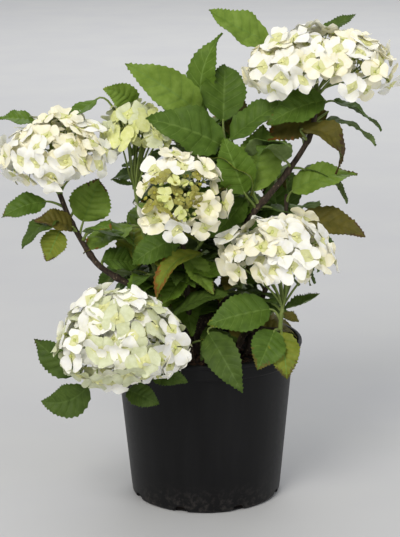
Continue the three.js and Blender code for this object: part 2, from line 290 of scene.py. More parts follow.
bark = bark_material()
pot_plastic = pot_material()
compost_fine = compost_material("damp_peat", ["#0f0a07", "#1d140e", "#2e2118"], 3)
compost_bark = compost_material("bark_chips", ["#21160e", "#3a2718", "#533a26"], 5)
print("made", bark.name, pot_plastic.name, compost_fine.name, compost_bark.name)

# %% [markdown]
# ## Gathering many alike pieces
# A leaf, a stalk or a chip is one short list of points and faces. There are hundreds, so they
# are stacked in a pile, each kind apart, and the pile becomes one joined mesh. Every piece then
# rides on the plant's one body.

# %% The pile
class Pile:
    def __init__(self):
        self.points, self.faces, self.kinds, self.count = [], [], [], 0

    def add(self, points, faces, kinds=0):
        self.points.append(np.asarray(points, float))
        self.faces.extend(tuple(i + self.count for i in face) for face in faces)
        self.kinds.extend([kinds] * len(faces) if isinstance(kinds, int) else kinds)
        self.count += len(points)


def place_piece(name, mesh, replaced=()):
    piece = bpy.data.objects.new(name, mesh)
    bpy.context.scene.collection.objects.link(piece)
    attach(piece, "root")
    if replaced:
        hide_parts(*replaced)
    triangles = sum(len(p.vertices) - 2 for p in mesh.polygons)
    print(f"{name}: {triangles} triangles")
    return piece


def make_piece(name, pile, materials, replaced=()):
    mesh = bpy.data.meshes.new(name)
    mesh.from_pydata(np.concatenate(pile.points).tolist(), [], pile.faces)
    for material in materials:
        mesh.materials.append(material)
    mesh.polygons.foreach_set("material_index", pile.kinds)
    mesh.polygons.foreach_set("use_smooth", [True] * len(mesh.polygons))
    mesh.set_sharp_from_angle(angle=math.radians(70))
    mesh.validate()
    return place_piece(name, mesh, replaced)


print("pile ready")

# %% [markdown]
# ## Reading the canes
# Each cane in the frame is a plain tube of rings. Walking over its edges from the tip
# reaches one ring after another, so the middle of each ring is a point of the cane's centre
# line and the ring's size is its thickness there. The line is read from the frame, never typed
# in, so a cane that moves in the model moves here too.

# %% Centre lines from the frame
MERGE_MM = 0.02
FOOT_MM = 3  # the corners this near to the lowest one are the cane's foot
CAP_MM = 6.2  # the corners this near to the farthest one are the cane's tip
RING_CORNERS = 5
SUNK_MM = 5  # how deep a cane's foot is sunk in the stool


def unit(v):
    return v / max(np.linalg.norm(v), 1e-9)


def merged_points(node):
    """The node's separate corners, and for each loose corner which one it is."""
    loose = np.array([v.co for v in nodes[node].data.vertices])
    keys = np.round(loose / (MERGE_MM * MM)).astype(int)
    _, first, which = np.unique(keys, axis=0, return_index=True, return_inverse=True)
    return loose[first], which.ravel()


def centre_line(node):
    """The middle and the size of each ring of a limb, from its foot to its tip."""
    points, which = merged_points(node)
    near = [set() for _ in points]
    for polygon in nodes[node].data.polygons:
        corners = [which[i] for i in polygon.vertices]
        for a in corners:
            near[a].update(corners)
    low = points[:, 2].min()
    foot = points[points[:, 2] < low + FOOT_MM * MM].mean(axis=0)
    farthest = points[np.argmax(np.linalg.norm(points - foot, axis=1))]
    ring = set(np.flatnonzero(np.linalg.norm(points - farthest, axis=1) < CAP_MM * MM).tolist())
    seen, middles, sizes = set(ring), [points[sorted(ring)].mean(axis=0)], []
    while ring:
        ring = set().union(*(near[i] for i in ring)) - seen
        seen |= ring
        if len(ring) < RING_CORNERS:
            break
        spots = points[sorted(ring)]
        middle = spots.mean(axis=0)
        way = unit(middle - middles[-1])
        off = spots - middle
        off = off - np.outer(off @ way, way)
        middles.append(middle)
        sizes.append(np.median(np.linalg.norm(off, axis=1)))
    sunk = foot - np.array([0, 0, SUNK_MM * MM])
    if len(sizes) > 1:
        middles = middles[:len(sizes)]
    middles = middles + [sunk]
    sizes = [sizes[0]] + sizes[:len(middles) - 1]
    return np.array(middles)[::-1], np.array(sizes)[::-1]


print("the stool has", len(centre_line("stool")[0]), "rings")

# %% [markdown]
# The rings' middles are few and a little uneven, so a smooth curve is drawn through them and
# its points are spaced evenly. The thickness is spread over the same points.

# %% Smooth the lines
LINE_POINTS = 60


def smooth_line(points, count):
    """Points spaced evenly along a smooth curve through the given ones."""
    padded = np.vstack([2 * points[0] - points[1], points, 2 * points[-1] - points[-2]])
    fine = []
    for i in range(1, len(padded) - 2):
        a, b, c, d = padded[i - 1:i + 3]
        for t in np.linspace(0, 1, 12, endpoint=False):
            fine.append(0.5 * (2 * b + (c - a) * t + (2 * a - 5 * b + 4 * c - d) * t ** 2
                               + (3 * b - a - 3 * c + d) * t ** 3))
    fine.append(points[-1])
    fine = np.array(fine)
    lengths = np.r_[0, np.cumsum(np.linalg.norm(np.diff(fine, axis=0), axis=1))]
    even = np.linspace(0, lengths[-1], count)
    return np.stack([np.interp(even, lengths, fine[:, k]) for k in range(3)], axis=1)


def spread_over(values, count):
    """As many values as asked for, evenly read off the given ones."""
    return np.interp(np.linspace(0, 1, count), np.linspace(0, 1, len(values)), values)


def nodes_named(start):
    return [n for n in nodes if n.startswith(start)]


def node_box(name):
    """The two corners, the middle and the half size of a node's box."""
    low, high = (np.array(corner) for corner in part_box(name))
    return low, high, (low + high) / 2, (high - low) / 2


CANES = [n for n in nodes if n.startswith("cane_") or n == "flower_stalk_right_low"]
cane_lines = {}
for name in CANES:
    middles, sizes = centre_line(name)
    cane_lines[name] = (smooth_line(middles, LINE_POINTS), spread_over(sizes, LINE_POINTS))
    print(name, "rings", len(middles), "radii mm", np.round(sizes / MM, 1))

# %% [markdown]
# ## Tubes
# Canes, leaf stalks and flower stalks are all one thing: a round section carried along a line.
# The section is kept from turning by passing each ring's direction on to the next. A function
# of place along and round the tube gives its thickness, which is how the joints and ridges of
# a cane get into its shape.

# %% Tube builder
def tube(pile, line, radii, sides, relief=None):
    """A closed round limb along a line, with a thickness for each point of the line."""
    line = np.asarray(line)
    steps = len(line)
    tangents = np.gradient(line, axis=0)
    tangents /= np.linalg.norm(tangents, axis=1)[:, None]
    side = unit(np.cross(tangents[0], [0.31, 0.87, 0.38]))
    turns = np.linspace(0, 2 * math.pi, sides, endpoint=False)
    points = []
    for i in range(steps):
        side = unit(side - tangents[i] * np.dot(side, tangents[i]))
        up = np.cross(tangents[i], side)
        radius = radii[i] * (relief(i / (steps - 1), turns) if relief else 1.0)
        ring = np.cos(turns)[:, None] * side + np.sin(turns)[:, None] * up
        points.extend(line[i] + ring * np.broadcast_to(radius, turns.shape)[:, None])
    faces = []
    for i in range(steps - 1):
        for j in range(sides):
            a, b = i * sides + j, i * sides + (j + 1) % sides
            faces.append((a, b, b + sides, a + sides))
    foot, head = len(points), len(points) + 1
    points += [line[0], line[-1] + tangents[-1] * radii[-1] * 0.6]
    last = (steps - 1) * sides
    for j in range(sides):
        following = (j + 1) % sides
        faces.append((foot, following, j))
        faces.append((head, last + j, last + following))
    pile.add(points, faces)


def stalk_line(start, start_way, end, end_way, steps):
    """A smooth bend from one place and heading to another."""
    reach = np.linalg.norm(end - start)
    a, b = start + start_way * reach * 0.35, end - end_way * reach * 0.35
    t = np.linspace(0, 1, steps)[:, None]
    return ((1 - t) ** 3 * start + 3 * (1 - t) ** 2 * t * a + 3 * (1 - t) * t ** 2 * b
            + t ** 3 * end)


print("tube builder ready")

# %% [markdown]
# ## Canes and stool
# A cane swells at every joint, where a pair of leaves sat, and runs slightly ridged between.
# The joints stand 35 to 45 mm apart. The old canes are bark, the soft new growth is green. Two
# of the green ones divide into their flower stalks well below the head, so they end there.

# %% Bark and green canes
JOINT_MM = 38
CANE_STEP_MM = 2.5
CANE_SHARE = 0.8  # the plain limbs are as thick as the joints, and a cane is thinner between them
CANE_SIDES, STOOL_SIDES = 14, 24
GREEN_CANES = ("cane_left_back", "cane_leafy", "flower_stalk_right_low")
FORK_AT = {"flower_stalk_right_low": 0.6, "cane_left_back": 0.84}
dice = np.random.default_rng(SEED)


def fork_place(name):
    """Where on its line a cane ends, or divides into its flower stalks."""
    return round(FORK_AT.get(name, 1.0) * (len(cane_lines[name][0]) - 1))


def cane_relief(length_mm, start):
    """How a cane's thickness changes along and round it, as a share of its radius."""
    joints = max(1, round(length_mm / JOINT_MM))
    phase = dice.uniform(0, 2 * math.pi)

    def relief(along, turns):
        beat = (along * joints + start) % 1.0
        swell = 0.3 * math.exp(-((beat - 0.5) / 0.09) ** 2)
        ridge = 0.035 * np.sin(5 * turns + phase + 9 * along)
        knobbly = 0.04 * np.sin(3 * turns - phase + 31 * along)
        return 1 + swell + ridge + knobbly
    return relief


bark_pile, green_pile = Pile(), Pile()
for name in CANES:
    line, radii = (values[:fork_place(name) + 1] for values in cane_lines[name])
    length_mm = np.linalg.norm(np.diff(line, axis=0), axis=1).sum() / MM
    steps = max(12, round(length_mm / CANE_STEP_MM))
    fine = smooth_line(line[np.linspace(0, len(line) - 1, 12).astype(int)], steps)
    fine_radii = spread_over(radii, steps) * CANE_SHARE
    pile = green_pile if name in GREEN_CANES else bark_pile
    tube(pile, fine, fine_radii, CANE_SIDES, cane_relief(length_mm, dice.uniform(0, 1)))

stool_line, stool_radii = centre_line("stool")
tube(bark_pile, smooth_line(stool_line, 16), spread_over(stool_radii, 16), STOOL_SIDES,
     cane_relief(60, 0.2))

woody = [n for n in CANES if n not in GREEN_CANES]
make_piece("canes_bark", bark_pile, [bark], woody + ["stool"])
make_piece("canes_green", green_pile, [stalk_green], list(GREEN_CANES))

# %% [markdown]
# ## The leaf
# A hydrangea leaf is a pointed oval with a toothed edge. Six or seven pairs of veins leave the
# midrib and sweep forward, and the blade is quilted between them. One grid makes all of that:
# its rows follow the veins, so a narrow row is a vein and the wider rows between can bulge. The
# alternative, a flat card with a bump pattern, would lose its edge and its quilting in a close
# view. The blade is a closed sheet, half a millimetre thick.

# %% Leaf grid
VEIN_PAIRS = 7
ROW_SHARES = (0.0, 0.07, 0.3, 0.54, 0.78)
COLUMNS = np.array([-1, -0.82, -0.56, -0.29, -0.05, 0.05, 0.29, 0.56, 0.82, 1])
BLADE_MM = 0.5
TOOTH_MM = 1.6
MIDRIB_COLUMN = len(COLUMNS) // 2 - 1

ROWS = np.array([(k + share) / VEIN_PAIRS for k in range(VEIN_PAIRS) for share in ROW_SHARES] + [1.0])
row_grid, column_grid = np.meshgrid(ROWS, COLUMNS, indexing="ij")
ROW_COUNT, COLUMN_COUNT = row_grid.shape
along_grid = row_grid + 0.5 * row_grid ** 0.6 * (1 - row_grid) * np.abs(column_grid)
vein_beat = (row_grid * VEIN_PAIRS) % 1.0


def outline(along):
    body = np.sin(math.pi * np.clip(along, 0, 1) ** 0.8) ** 0.95
    drawn_tip = 1 - 0.3 * np.clip((along - 0.78) / 0.22, 0, 1)
    return np.nan_to_num(body) * drawn_tip


def grid_faces():
    """Top, underside and rim faces of the closed blade, with the row and column of each."""
    faces, places = [], []
    under = ROW_COUNT * COLUMN_COUNT
    for i in range(ROW_COUNT - 1):
        for j in range(COLUMN_COUNT - 1):
            a = i * COLUMN_COUNT + j
            quad = (a, a + 1, a + COLUMN_COUNT + 1, a + COLUMN_COUNT)
            faces.append(tuple(reversed(quad)))
            places.append((i, j, "top"))
            faces.append(tuple(k + under for k in quad))
            places.append((i, j, "under"))
    rim = list(range(COLUMN_COUNT))
    rim += [i * COLUMN_COUNT + COLUMN_COUNT - 1 for i in range(1, ROW_COUNT)]
    rim += [(ROW_COUNT - 1) * COLUMN_COUNT + j for j in range(COLUMN_COUNT - 2, -1, -1)]
    rim += [i * COLUMN_COUNT for i in range(ROW_COUNT - 2, 0, -1)]
    for a, b in zip(rim, rim[1:] + rim[:1]):
        faces.append((a, b, b + under, a + under))
        places.append((0, 0, "rim"))
    return faces, places


LEAF_FACES, LEAF_PLACES = grid_faces()
print("faces in a leaf:", len(LEAF_FACES))

# %% [markdown]
# A leaf's shape is its midrib, its breadth, which way it faces, and a few habits: how much it
# folds along the midrib, how wavy its edge is and how far its tip curls down. Tints have a
# place on the leaf, such as a rusty tip, so they are given face by face, as plain colours.

# %% Leaf builder
LEAF_KINDS = list(leaf_materials)
QUILT_SHARE, RIPPLE_SHARE = 0.042, 0.045  # heights as shares of the leaf's width
GROOVE_MM = 0.5


def leaf_tints(tint, spoilt, spoil_colour, rng):
    """The material of each face: blade, vein or underside, and rusty where the leaf is spoilt."""
    kinds = []
    edge = rng.uniform(-0.5, 0.5, ROW_COUNT * COLUMN_COUNT)
    for i, j, side in LEAF_PLACES:
        row = ROWS[i]
        across = abs(COLUMNS[j] + COLUMNS[min(j + 1, COLUMN_COUNT - 1)]) / 2
        kind = tint
        if side == "under":
            kind = "underside"
        elif j == MIDRIB_COLUMN or (i % len(ROW_SHARES) == 0 and i > 0 and across < 0.9):
            kind = VEIN_OF[tint]
        # Wear grows towards the tip and the edge, with some chance in it.
        wear = row * 0.75 + across * 0.45 + 0.22 * edge[i * COLUMN_COUNT + j]
        if side != "rim" and spoilt and wear > 1.15 - spoilt:
            kind = spoil_colour
        kinds.append(LEAF_KINDS.index(kind))
    return kinds


def leaf(pile, base, tip, bow, side, face, width, rng, tint, spoilt=0.0, spoil_colour="rust",
         fold=0.16, wave=1.0, curl=0.05, twist=0.0):
    """One closed blade from its base to its tip, its midrib bowed, its habits as given."""
    length = np.linalg.norm(tip - base)
    way = (tip - base) / length
    t = np.clip(along_grid, 0, 1)[..., None]
    middle = base + way * length * t + bow * 4 * t * (1 - t)
    middle = middle - face * length * curl * t ** 3
    heading = way * length + bow * 4 * (1 - 2 * t) - face * length * curl * 3 * t ** 2
    heading = heading / np.linalg.norm(heading, axis=-1, keepdims=True)
    turn = twist * t ** 2
    across = side - heading * np.sum(side * heading, axis=-1, keepdims=True)
    across = across / np.linalg.norm(across, axis=-1, keepdims=True)
    up = np.cross(across, heading)
    across, up = (across * np.cos(turn) + up * np.sin(turn), up * np.cos(turn) - across * np.sin(turn))

    half = width / 2 * outline(along_grid) + 0.35 * MM
    reach = np.abs(column_grid)
    lateral = column_grid * half
    row_number = np.arange(ROW_COUNT)[:, None] % len(ROW_SHARES)
    tooth = np.isin(row_number, (2, 4)) & (reach > 0.99) & (along_grid < 0.95) & (row_grid > 0.02)
    lateral = lateral + np.sign(column_grid) * tooth * TOOTH_MM * MM * rng.uniform(0.5, 1.1, tooth.shape)

    quilt = np.sin(math.pi * vein_beat) ** 0.8 * (1 - reach ** 3) * outline(along_grid)
    groove = np.exp(-(column_grid / 0.08) ** 2)
    ripple = np.sin(2 * math.pi * (2.3 * along_grid + rng.uniform()) + np.sign(column_grid)) * reach ** 2
    height = (fold * np.abs(lateral) + width * QUILT_SHARE * quilt - GROOVE_MM * MM * groove
              + width * RIPPLE_SHARE * wave * ripple)
    top = middle + across * lateral[..., None] + up * height[..., None]
    under = top - up * BLADE_MM * MM
    points = np.concatenate([top.reshape(-1, 3), under.reshape(-1, 3)])
    pile.add(points, LEAF_FACES, leaf_tints(tint, spoilt, spoil_colour, rng))


print("leaf colours:", ", ".join(LEAF_KINDS))

# %% [markdown]
# ## Single leaves
# The frame holds the largest leaves one by one, as plain blades. From each one come its two
# ends, its breadth, the way its upper face looks and how far its midrib bows. The end nearer to
# a cane is its base, and its upper face looks up and forwards. The tints are partly this plant's
# own: it is late in the season, and several leaves are bronzed, rusty at the tip or browned along
# the edge. The rest is painted light and shade: a leaf that should look lit gets a light green,
# one that should look shaded a deep one.

# %% Read a blade
ALL_CANE_POINTS = np.concatenate([line for line, _ in cane_lines.values()])
ALL_CANE_WAYS = np.concatenate([np.gradient(line, axis=0) for line, _ in cane_lines.values()])
OUTLOOK = (0, -0.75, 0.65)  # the way that upper faces look
STATIONS = (2 / 6, 3 / 6, 4 / 6)  # shares of the length where the breadth is read
STATION_REACH = 0.07
FEWEST_CORNERS = 6


def corners_at(off, along, station):
    """The blade's corners near one share of its length, and never too few of them."""
    apart = np.abs(along - station)
    return off[apart < max(STATION_REACH, np.sort(apart)[FEWEST_CORNERS - 1] + 0.001)]


def read_blade(node):
    """A blade's base, tip, bow, side way, facing and width."""
    points, _ = merged_points(node)
    gaps = np.linalg.norm(points[:, None] - points[None], axis=2)
    a, b = np.unravel_index(np.argmax(gaps), gaps.shape)
    ends = [points[i][None] - ALL_CANE_POINTS for i in (a, b)]
    nearest = [np.linalg.norm(e, axis=1).min() for e in ends]
    base, tip = (points[a], points[b]) if nearest[0] < nearest[1] else (points[b], points[a])
    way, length = unit(tip - base), np.linalg.norm(tip - base)
    along = (points - base) @ way / length
    off = points - base - np.outer(along * length, way)
    side, width = np.zeros(3), 0.0
    for station in STATIONS:
        ring = corners_at(off, along, station)
        spans = ring[:, None] - ring[None]
        longest = spans.reshape(-1, 3)[np.argmax(np.linalg.norm(spans, axis=2))]
        if np.dot(longest, side) < 0:
            longest = -longest
        side = side + longest
        width = max(width, np.linalg.norm(longest))
    side = unit(side - way * np.dot(side, way))
    face = np.cross(side, way)
    ring = corners_at(off, along, 0.5)
    lateral = ring @ side
    lateral = lateral - (lateral.max() + lateral.min()) / 2
    inner = ring[np.abs(lateral) < 0.25 * width]
    outer = ring[np.abs(lateral) > 0.35 * width]
    if len(inner) and len(outer) and np.dot(outer.mean(0) - inner.mean(0), face) < 0:
        side, face = -side, -face
    if np.dot(face, OUTLOOK) < 0:
        side, face = -side, -face
    bow = inner.mean(axis=0) if len(inner) else ring.mean(axis=0)
    return base, tip, bow, side, face, width


LEAF_NODES = nodes_named("leaf_")
print("single leaves:", len(LEAF_NODES))

# %% Tints and habits
PLAIN_TINT = ("mid", 0.0, "rust")
# A light, fresh, mid or deep blade green below is painted light or shade for how lit the leaf should
# look.
# Leaves of another colour: blade, how much is spoilt, and the colour of the spoilt part.
TINTS = {
    "leaf_upper_left": ("light", 0.0, "rust"), "leaf_small_left": ("light", 0.1, "yellowing"),
    "leaf_twisted": ("fresh", 0.0, "rust"), "leaf_top": ("light", 0.0, "rust"),
    "leaf_shoot_left": ("fresh", 0.0, "rust"), "leaf_shoot_right": ("light", 0.12, "bronze"),
    "leaf_right_mid": ("light", 0.2, "bronze"), "leaf_curled": ("bronze", 0.5, "brown"),
    "leaf_under_top_a": ("mid", 0.1, "bronze"), "leaf_under_top_b": ("bronze", 0.3, "rust"),
    "leaf_behind_top": ("deep", 0.0, "rust"), "leaf_right_low": ("bronze", 0.25, "brown"),
    "leaf_arching": ("yellowing", 0.4, "rust"), "leaf_over_pot": ("mid", 0.12, "yellowing"),
    "leaf_over_rim": ("deep", 0.0, "rust"), "leaf_low_right_a": ("mid", 0.3, "bronze"),
    "leaf_low_right_b": ("yellowing", 0.3, "bronze"), "leaf_left_top_a": ("fresh", 0.0, "rust"),
    "leaf_left_top_b": ("fresh", 0.0, "rust"), "leaf_left_edge": ("mid", 0.2, "bronze"),
    "leaf_left_under": ("bronze", 0.3, "brown"), "leaf_left_hanging": ("yellowing", 0.2, "brown"),
    "leaf_left_rising": ("light", 0.25, "brown"), "leaf_low_left_a": ("deep", 0.1, "brown"),
    "leaf_low_left_b": ("deep", 0.0, "rust"), "leaf_low_left_c": ("deep", 0.0, "rust"),
    "leaf_low_left_d": ("deep", 0.0, "rust"),
}
# Leaves that fold along the midrib, curl or twist more or less than most.
HABITS = {
    "leaf_twisted": {"twist": 1.2, "fold": 0.3}, "leaf_upright": {"fold": 0.5, "curl": 0.1},
    "leaf_upper_left": {"fold": 0.42, "curl": 0.08}, "leaf_top": {"fold": 0.4},
    "leaf_upper_right": {"fold": 0.35}, "leaf_upper_front": {"fold": 0.3, "curl": 0.1},
    "leaf_curled": {"curl": 0.25, "fold": 0.4, "twist": 0.6}, "leaf_right_mid": {"curl": 0.15},
    "leaf_low_left_b": {"fold": 0.2}, "leaf_over_rim": {"fold": 0.3, "curl": 0.1},
    "leaf_low_right_a": {"fold": 0.3}, "leaf_low_right_b": {"fold": 0.3},
    "leaf_shoot_right": {"fold": 0.32}, "leaf_arching": {"fold": 0.35, "curl": 0.15},
}
print("tinted leaves:", len(TINTS), "leaves with habits of their own:", len(HABITS))

# %% [markdown]
# Each leaf is joined to the nearest cane by a stalk. It leaves the cane a little below the
# leaf, bends and runs into the midrib. A few small late leaves grow straight from the canes.

# %% Build the single leaves and their stalks
LEAF_STALK_MM = (1.5625, 0.875)
stalk_pile = Pile()


def leaf_stalk(base, way):
    """A stalk from the nearest cane that runs into the midrib at the leaf's base."""
    lower = base - np.array([0, 0, 12 * MM])
    nearest = int(np.argmin(np.linalg.norm(ALL_CANE_POINTS - lower, axis=1)))
    start = ALL_CANE_POINTS[nearest]
    leaving = unit(unit(base - start) + 0.4 * unit(ALL_CANE_WAYS[nearest]))
    line = stalk_line(start, leaving, base + way * 2 * MM, way, 12)
    tube(stalk_pile, line, np.linspace(*LEAF_STALK_MM, len(line)) * MM, 7)


def late_leaf(pile, cane, share, way, length, width, tint, fold):
    """A small leaf that grows from a share of a cane's length and curls up a little."""
    line, _ = cane_lines[cane]
    way = unit(np.array(way))
    base = line[round(share * (len(line) - 1))] + way * 2 * MM
    side = unit(np.cross(way, [0, -0.3, 1.0]))
    face = np.cross(side, way)
    rng = np.random.default_rng(round(SEED + length))
    leaf(pile, base, base + way * length * MM, face * -2 * MM, side, face, width * MM, rng, tint,
         0.15, "bronze", fold=fold, curl=-0.1)


# Small late leaves: cane, share of its length, heading, length and width in mm, tint, fold.
SMALL_LEAVES = [
    ("flower_stalk_right_low", 0.56, (0.93, -0.1, 0.34), 36, 14, "deep", 0.7),
    ("flower_stalk_right_low", 0.5, (0.7, -0.35, -0.45), 17, 12, "bronze", 0.5),
    ("cane_left_back", 0.86, (-0.8, -0.3, 0.2), 22, 10, "deep", 0.5),
    ("cane_left_back", 1.0, (0.65, -0.3, 0.75), 40, 9, "bronze", 0.5),
    ("cane_leafy", 0.74, (-0.6, -0.5, -0.62), 58, 33, "mid", 0.3),
    ("cane_leafy", 0.7, (-0.25, -0.6, -0.75), 56, 32, "deep", 0.35),
    ("cane_leafy", 0.8, (-0.85, -0.45, -0.2), 60, 32, "mid", 0.3),
    ("cane_leafy", 0.46, (-0.35, -0.8, -0.45), 50, 24, "bronze", 0.4),
    ("cane_centre", 0.74, (0.5, -0.4, -0.78), 52, 24, "light", 0.4),
    ("cane_centre", 0.66, (0.85, -0.45, -0.28), 46, 25, "fresh", 0.35),
    ("cane_centre", 0.62, (-0.45, -0.5, -0.74), 44, 26, "fresh", 0.3),
]
leaf_pile = Pile()
for number, name in enumerate(LEAF_NODES):
    rng = np.random.default_rng(SEED + number)
    base, tip, bow, side, face, width = read_blade(name)
    tint, spoilt, spoil_colour = TINTS.get(name, PLAIN_TINT)
    habit = {"wave": rng.uniform(0.8, 1.6), "curl": rng.uniform(0.0, 0.07),
             "twist": rng.uniform(-0.3, 0.3), "fold": rng.uniform(0.2, 0.38)}
    habit.update(HABITS.get(name, {}))
    leaf(leaf_pile, base, tip, bow, side, face, width, rng, tint, spoilt, spoil_colour, **habit)
    start_way = unit(tip - base + 4 * bow)
    leaf_stalk(base, start_way)
for late in SMALL_LEAVES:
    late_leaf(leaf_pile, *late)
make_piece("leaves_single", leaf_pile, list(leaf_materials.values()), LEAF_NODES)

# %% [markdown]
# ## Leaves along the canes
# Besides the large leaves, each cane bears leaves in pairs, each pair a quarter turn from the
# last. A leaf grows only where the frame has foliage when the plant is seen from the front, so
# that the openings stay open, and never into a flower head or the pot.

# %% Where a leaf may grow
MASS_NODES = nodes_named("foliage_")
HEAD_NODES = nodes_named("flower_head_")
FRONT_LIMIT = -0.048  # the crown's own leaves stay behind this, clear of the named ones
LEAF_OVER_MM = 4


def boxes_of(names, margin_mm):
    pairs = [[np.array(corner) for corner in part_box(n)] for n in names]
    return [(low - margin_mm * MM, high + margin_mm * MM) for low, high in pairs]


FOLIAGE_BOXES = boxes_of(LEAF_NODES + MASS_NODES, 4)
HEAD_BOXES = boxes_of(HEAD_NODES, 3)
POT_BOX = boxes_of(["pot"], 4)


def is_inside(spot, boxes, axes=(0, 1, 2)):
    """Whether the spot is in any of the boxes, on the given axes alone."""
    return any(all(low[k] < spot[k] < high[k] for k in axes) for low, high in boxes)


def is_in_frame(spot):
    low, high = (np.array(corner) for corner in CAD_BOX)
    return is_inside(spot, [(low - LEAF_OVER_MM * MM, high + LEAF_OVER_MM * MM)])


def has_room(base, tip):
    """Whether a leaf there hides no opening, and stays out of heads, pot and the front."""
    spots = [base + (tip - base) * share for share in (0.3, 0.65, 1.0)]
    open_sky = any(not is_inside(spot, FOLIAGE_BOXES, (0, 2)) for spot in spots[1:])
    blocked = any(is_inside(spot, HEAD_BOXES + POT_BOX) for spot in spots)
    return not open_sky and not blocked and tip[1] > FRONT_LIMIT


print("boxes with foliage:", len(FOLIAGE_BOXES), "and kept clear:", len(HEAD_BOXES + POT_BOX))

# %% Leaves in pairs along the canes
# The greens dealt here are partly painted light: the shade green is left out and lighter ones put in, so
# that the inside of the crown looks less shaded.
INNER_TINTS = ["mid", "mid", "fresh", "fresh", "deep", "deep", "light", "yellowing", "bronze"]
LEAF_PAIR_MM = 24
LEAF_LENGTHS_MM = (46, 76)
SHORTEST_LEAF_MM = 36
PETIOLE_MM = (1.5, 1.0)
PETIOLE_LENGTHS_MM = (9, 17)
PETIOLE_ROOM_MM = 12
inner_pile, rear_pile, twig_pile = Pile(), Pile(), Pile()


def common_leaf(pile, root, reach, length, rng):
    """A leaf of the ordinary kind with its stalk, hanging a little from where it points."""
    base = root + reach * rng.uniform(*PETIOLE_LENGTHS_MM) * MM
    tip = base + unit(reach + [0, 0, -0.25 - 0.3 * rng.random()]) * length
    way = unit(tip - base)
    side = unit(np.cross(way, [0.001, 0, 1.0]) + [0, 0, rng.uniform(-0.3, 0.3)])
    side = unit(side - way * np.dot(side, way))
    face = np.cross(side, way)
    tint = str(rng.choice(INNER_TINTS))
    spoilt = rng.uniform(0.15, 0.4) if rng.random() < 0.2 else 0.0
    leaf(pile, base, tip, face * length * rng.uniform(0.06, 0.16), side, face,
         length * rng.uniform(0.52, 0.62), rng, tint, spoilt, "rust", fold=rng.uniform(0.1, 0.3),
         wave=rng.uniform(0.6, 1.5), curl=rng.uniform(0.02, 0.12), twist=rng.uniform(-0.4, 0.4))
    line = stalk_line(root, reach, base + way * 2 * MM, way, 7)
    tube(twig_pile, line, np.linspace(*PETIOLE_MM, len(line)) * MM, 6)


def shortened(root, reach, length):
    """The length at which a leaf has room, made shorter bit by bit."""
    room = PETIOLE_ROOM_MM * MM
    while length > SHORTEST_LEAF_MM * MM and not has_room(root, root + reach * (length + room)):
        length *= 0.85
    return length


def dress_canes(rng):
    """Leaves in pairs up every cane, where they have room. Gives their number."""
    grown = 0
    for name in CANES:
        line, _ = cane_lines[name]
        ways = np.gradient(line, axis=0)
        length_mm = np.linalg.norm(ways, axis=1).sum() / MM
        pairs = max(1, round(length_mm / LEAF_PAIR_MM))
        turn = rng.uniform(0, math.pi)
        for pair in range(1, pairs):
            root, way = (values[int(pair / pairs * (len(line) - 1))] for values in (line, ways))
            way = unit(way)
            across = unit(np.cross(way, [0.2, 0.9, 0.3]))
            beside = np.cross(way, across)
            for flip in (0, math.pi):
                angle = turn + pair * math.pi / 2 + flip + rng.uniform(-0.4, 0.4)
                reach = unit(across * math.cos(angle) + beside * math.sin(angle) + 0.35 * way)
                length = shortened(root, reach, rng.uniform(*LEAF_LENGTHS_MM) * MM)
                if length > SHORTEST_LEAF_MM * MM:
                    common_leaf(inner_pile, root, reach, length, rng)
                    grown += 1
    return grown


print("leaves on the canes:", dress_canes(np.random.default_rng(SEED + 60)))

# %% [markdown]
# ## Masses of inner and rear leaves
# Inside and behind, each mass of the frame is filled by shoots: a twig grows from the nearest
# cane into the mass and bears its leaves in pairs, with blades that reach out to the surface of
# the mass. The rule is seeded, so the plant comes out the same each time.

# %% Grow the masses
SHOOT_ROOM_MM = 12.5
LEAF_PAIRS_AT = (0.55, 0.8, 1.0)
MASS_LEAF_MM = (48, 80)
TRIMMED_LEAF_MM = 30
TIP_ROOM_MM = 14
TWIG_MM = (2.2, 1.0)
TWIG_STEPS = 24


def grow_shoot(start, end, heading, centre, half, rng, pile):
    """A leafy shoot: a twig and three pairs of leaves that reach to the mass's surface."""
    twig = stalk_line(start, unit(end - start + [0, 0, 0.02]), end, heading, TWIG_STEPS)
    ways = np.gradient(twig, axis=0)
    tube(twig_pile, twig, np.linspace(*TWIG_MM, TWIG_STEPS) * MM, 7)
    turn = rng.uniform(0, math.pi)
    shortest, longest = (size * MM for size in MASS_LEAF_MM)
    for level, share in enumerate(LEAF_PAIRS_AT):
        place = int(share * (TWIG_STEPS - 1))
        root, way = twig[place], unit(ways[place])
        across = unit(np.cross(way, [0.2, 0.3, 0.93]))
        beside = np.cross(way, across)
        for flip in (0, math.pi):
            angle = turn + level * math.pi / 2 + flip + rng.uniform(-0.3, 0.3)
            spread = across * math.cos(angle) + beside * math.sin(angle)
            reach = unit(spread + way * (0.1 + 0.5 * share))
            room = 1 / np.linalg.norm(reach / half) - np.dot(root - centre, reach)
            length = np.clip(room * rng.uniform(1.1, 1.3), shortest, longest)
            while (length > TRIMMED_LEAF_MM * MM
                   and not is_in_frame(root + reach * (length + TIP_ROOM_MM * MM))):
                length *= 0.9
            if not is_inside(root + reach * length, HEAD_BOXES):
                common_leaf(pile, root, reach, length, rng)


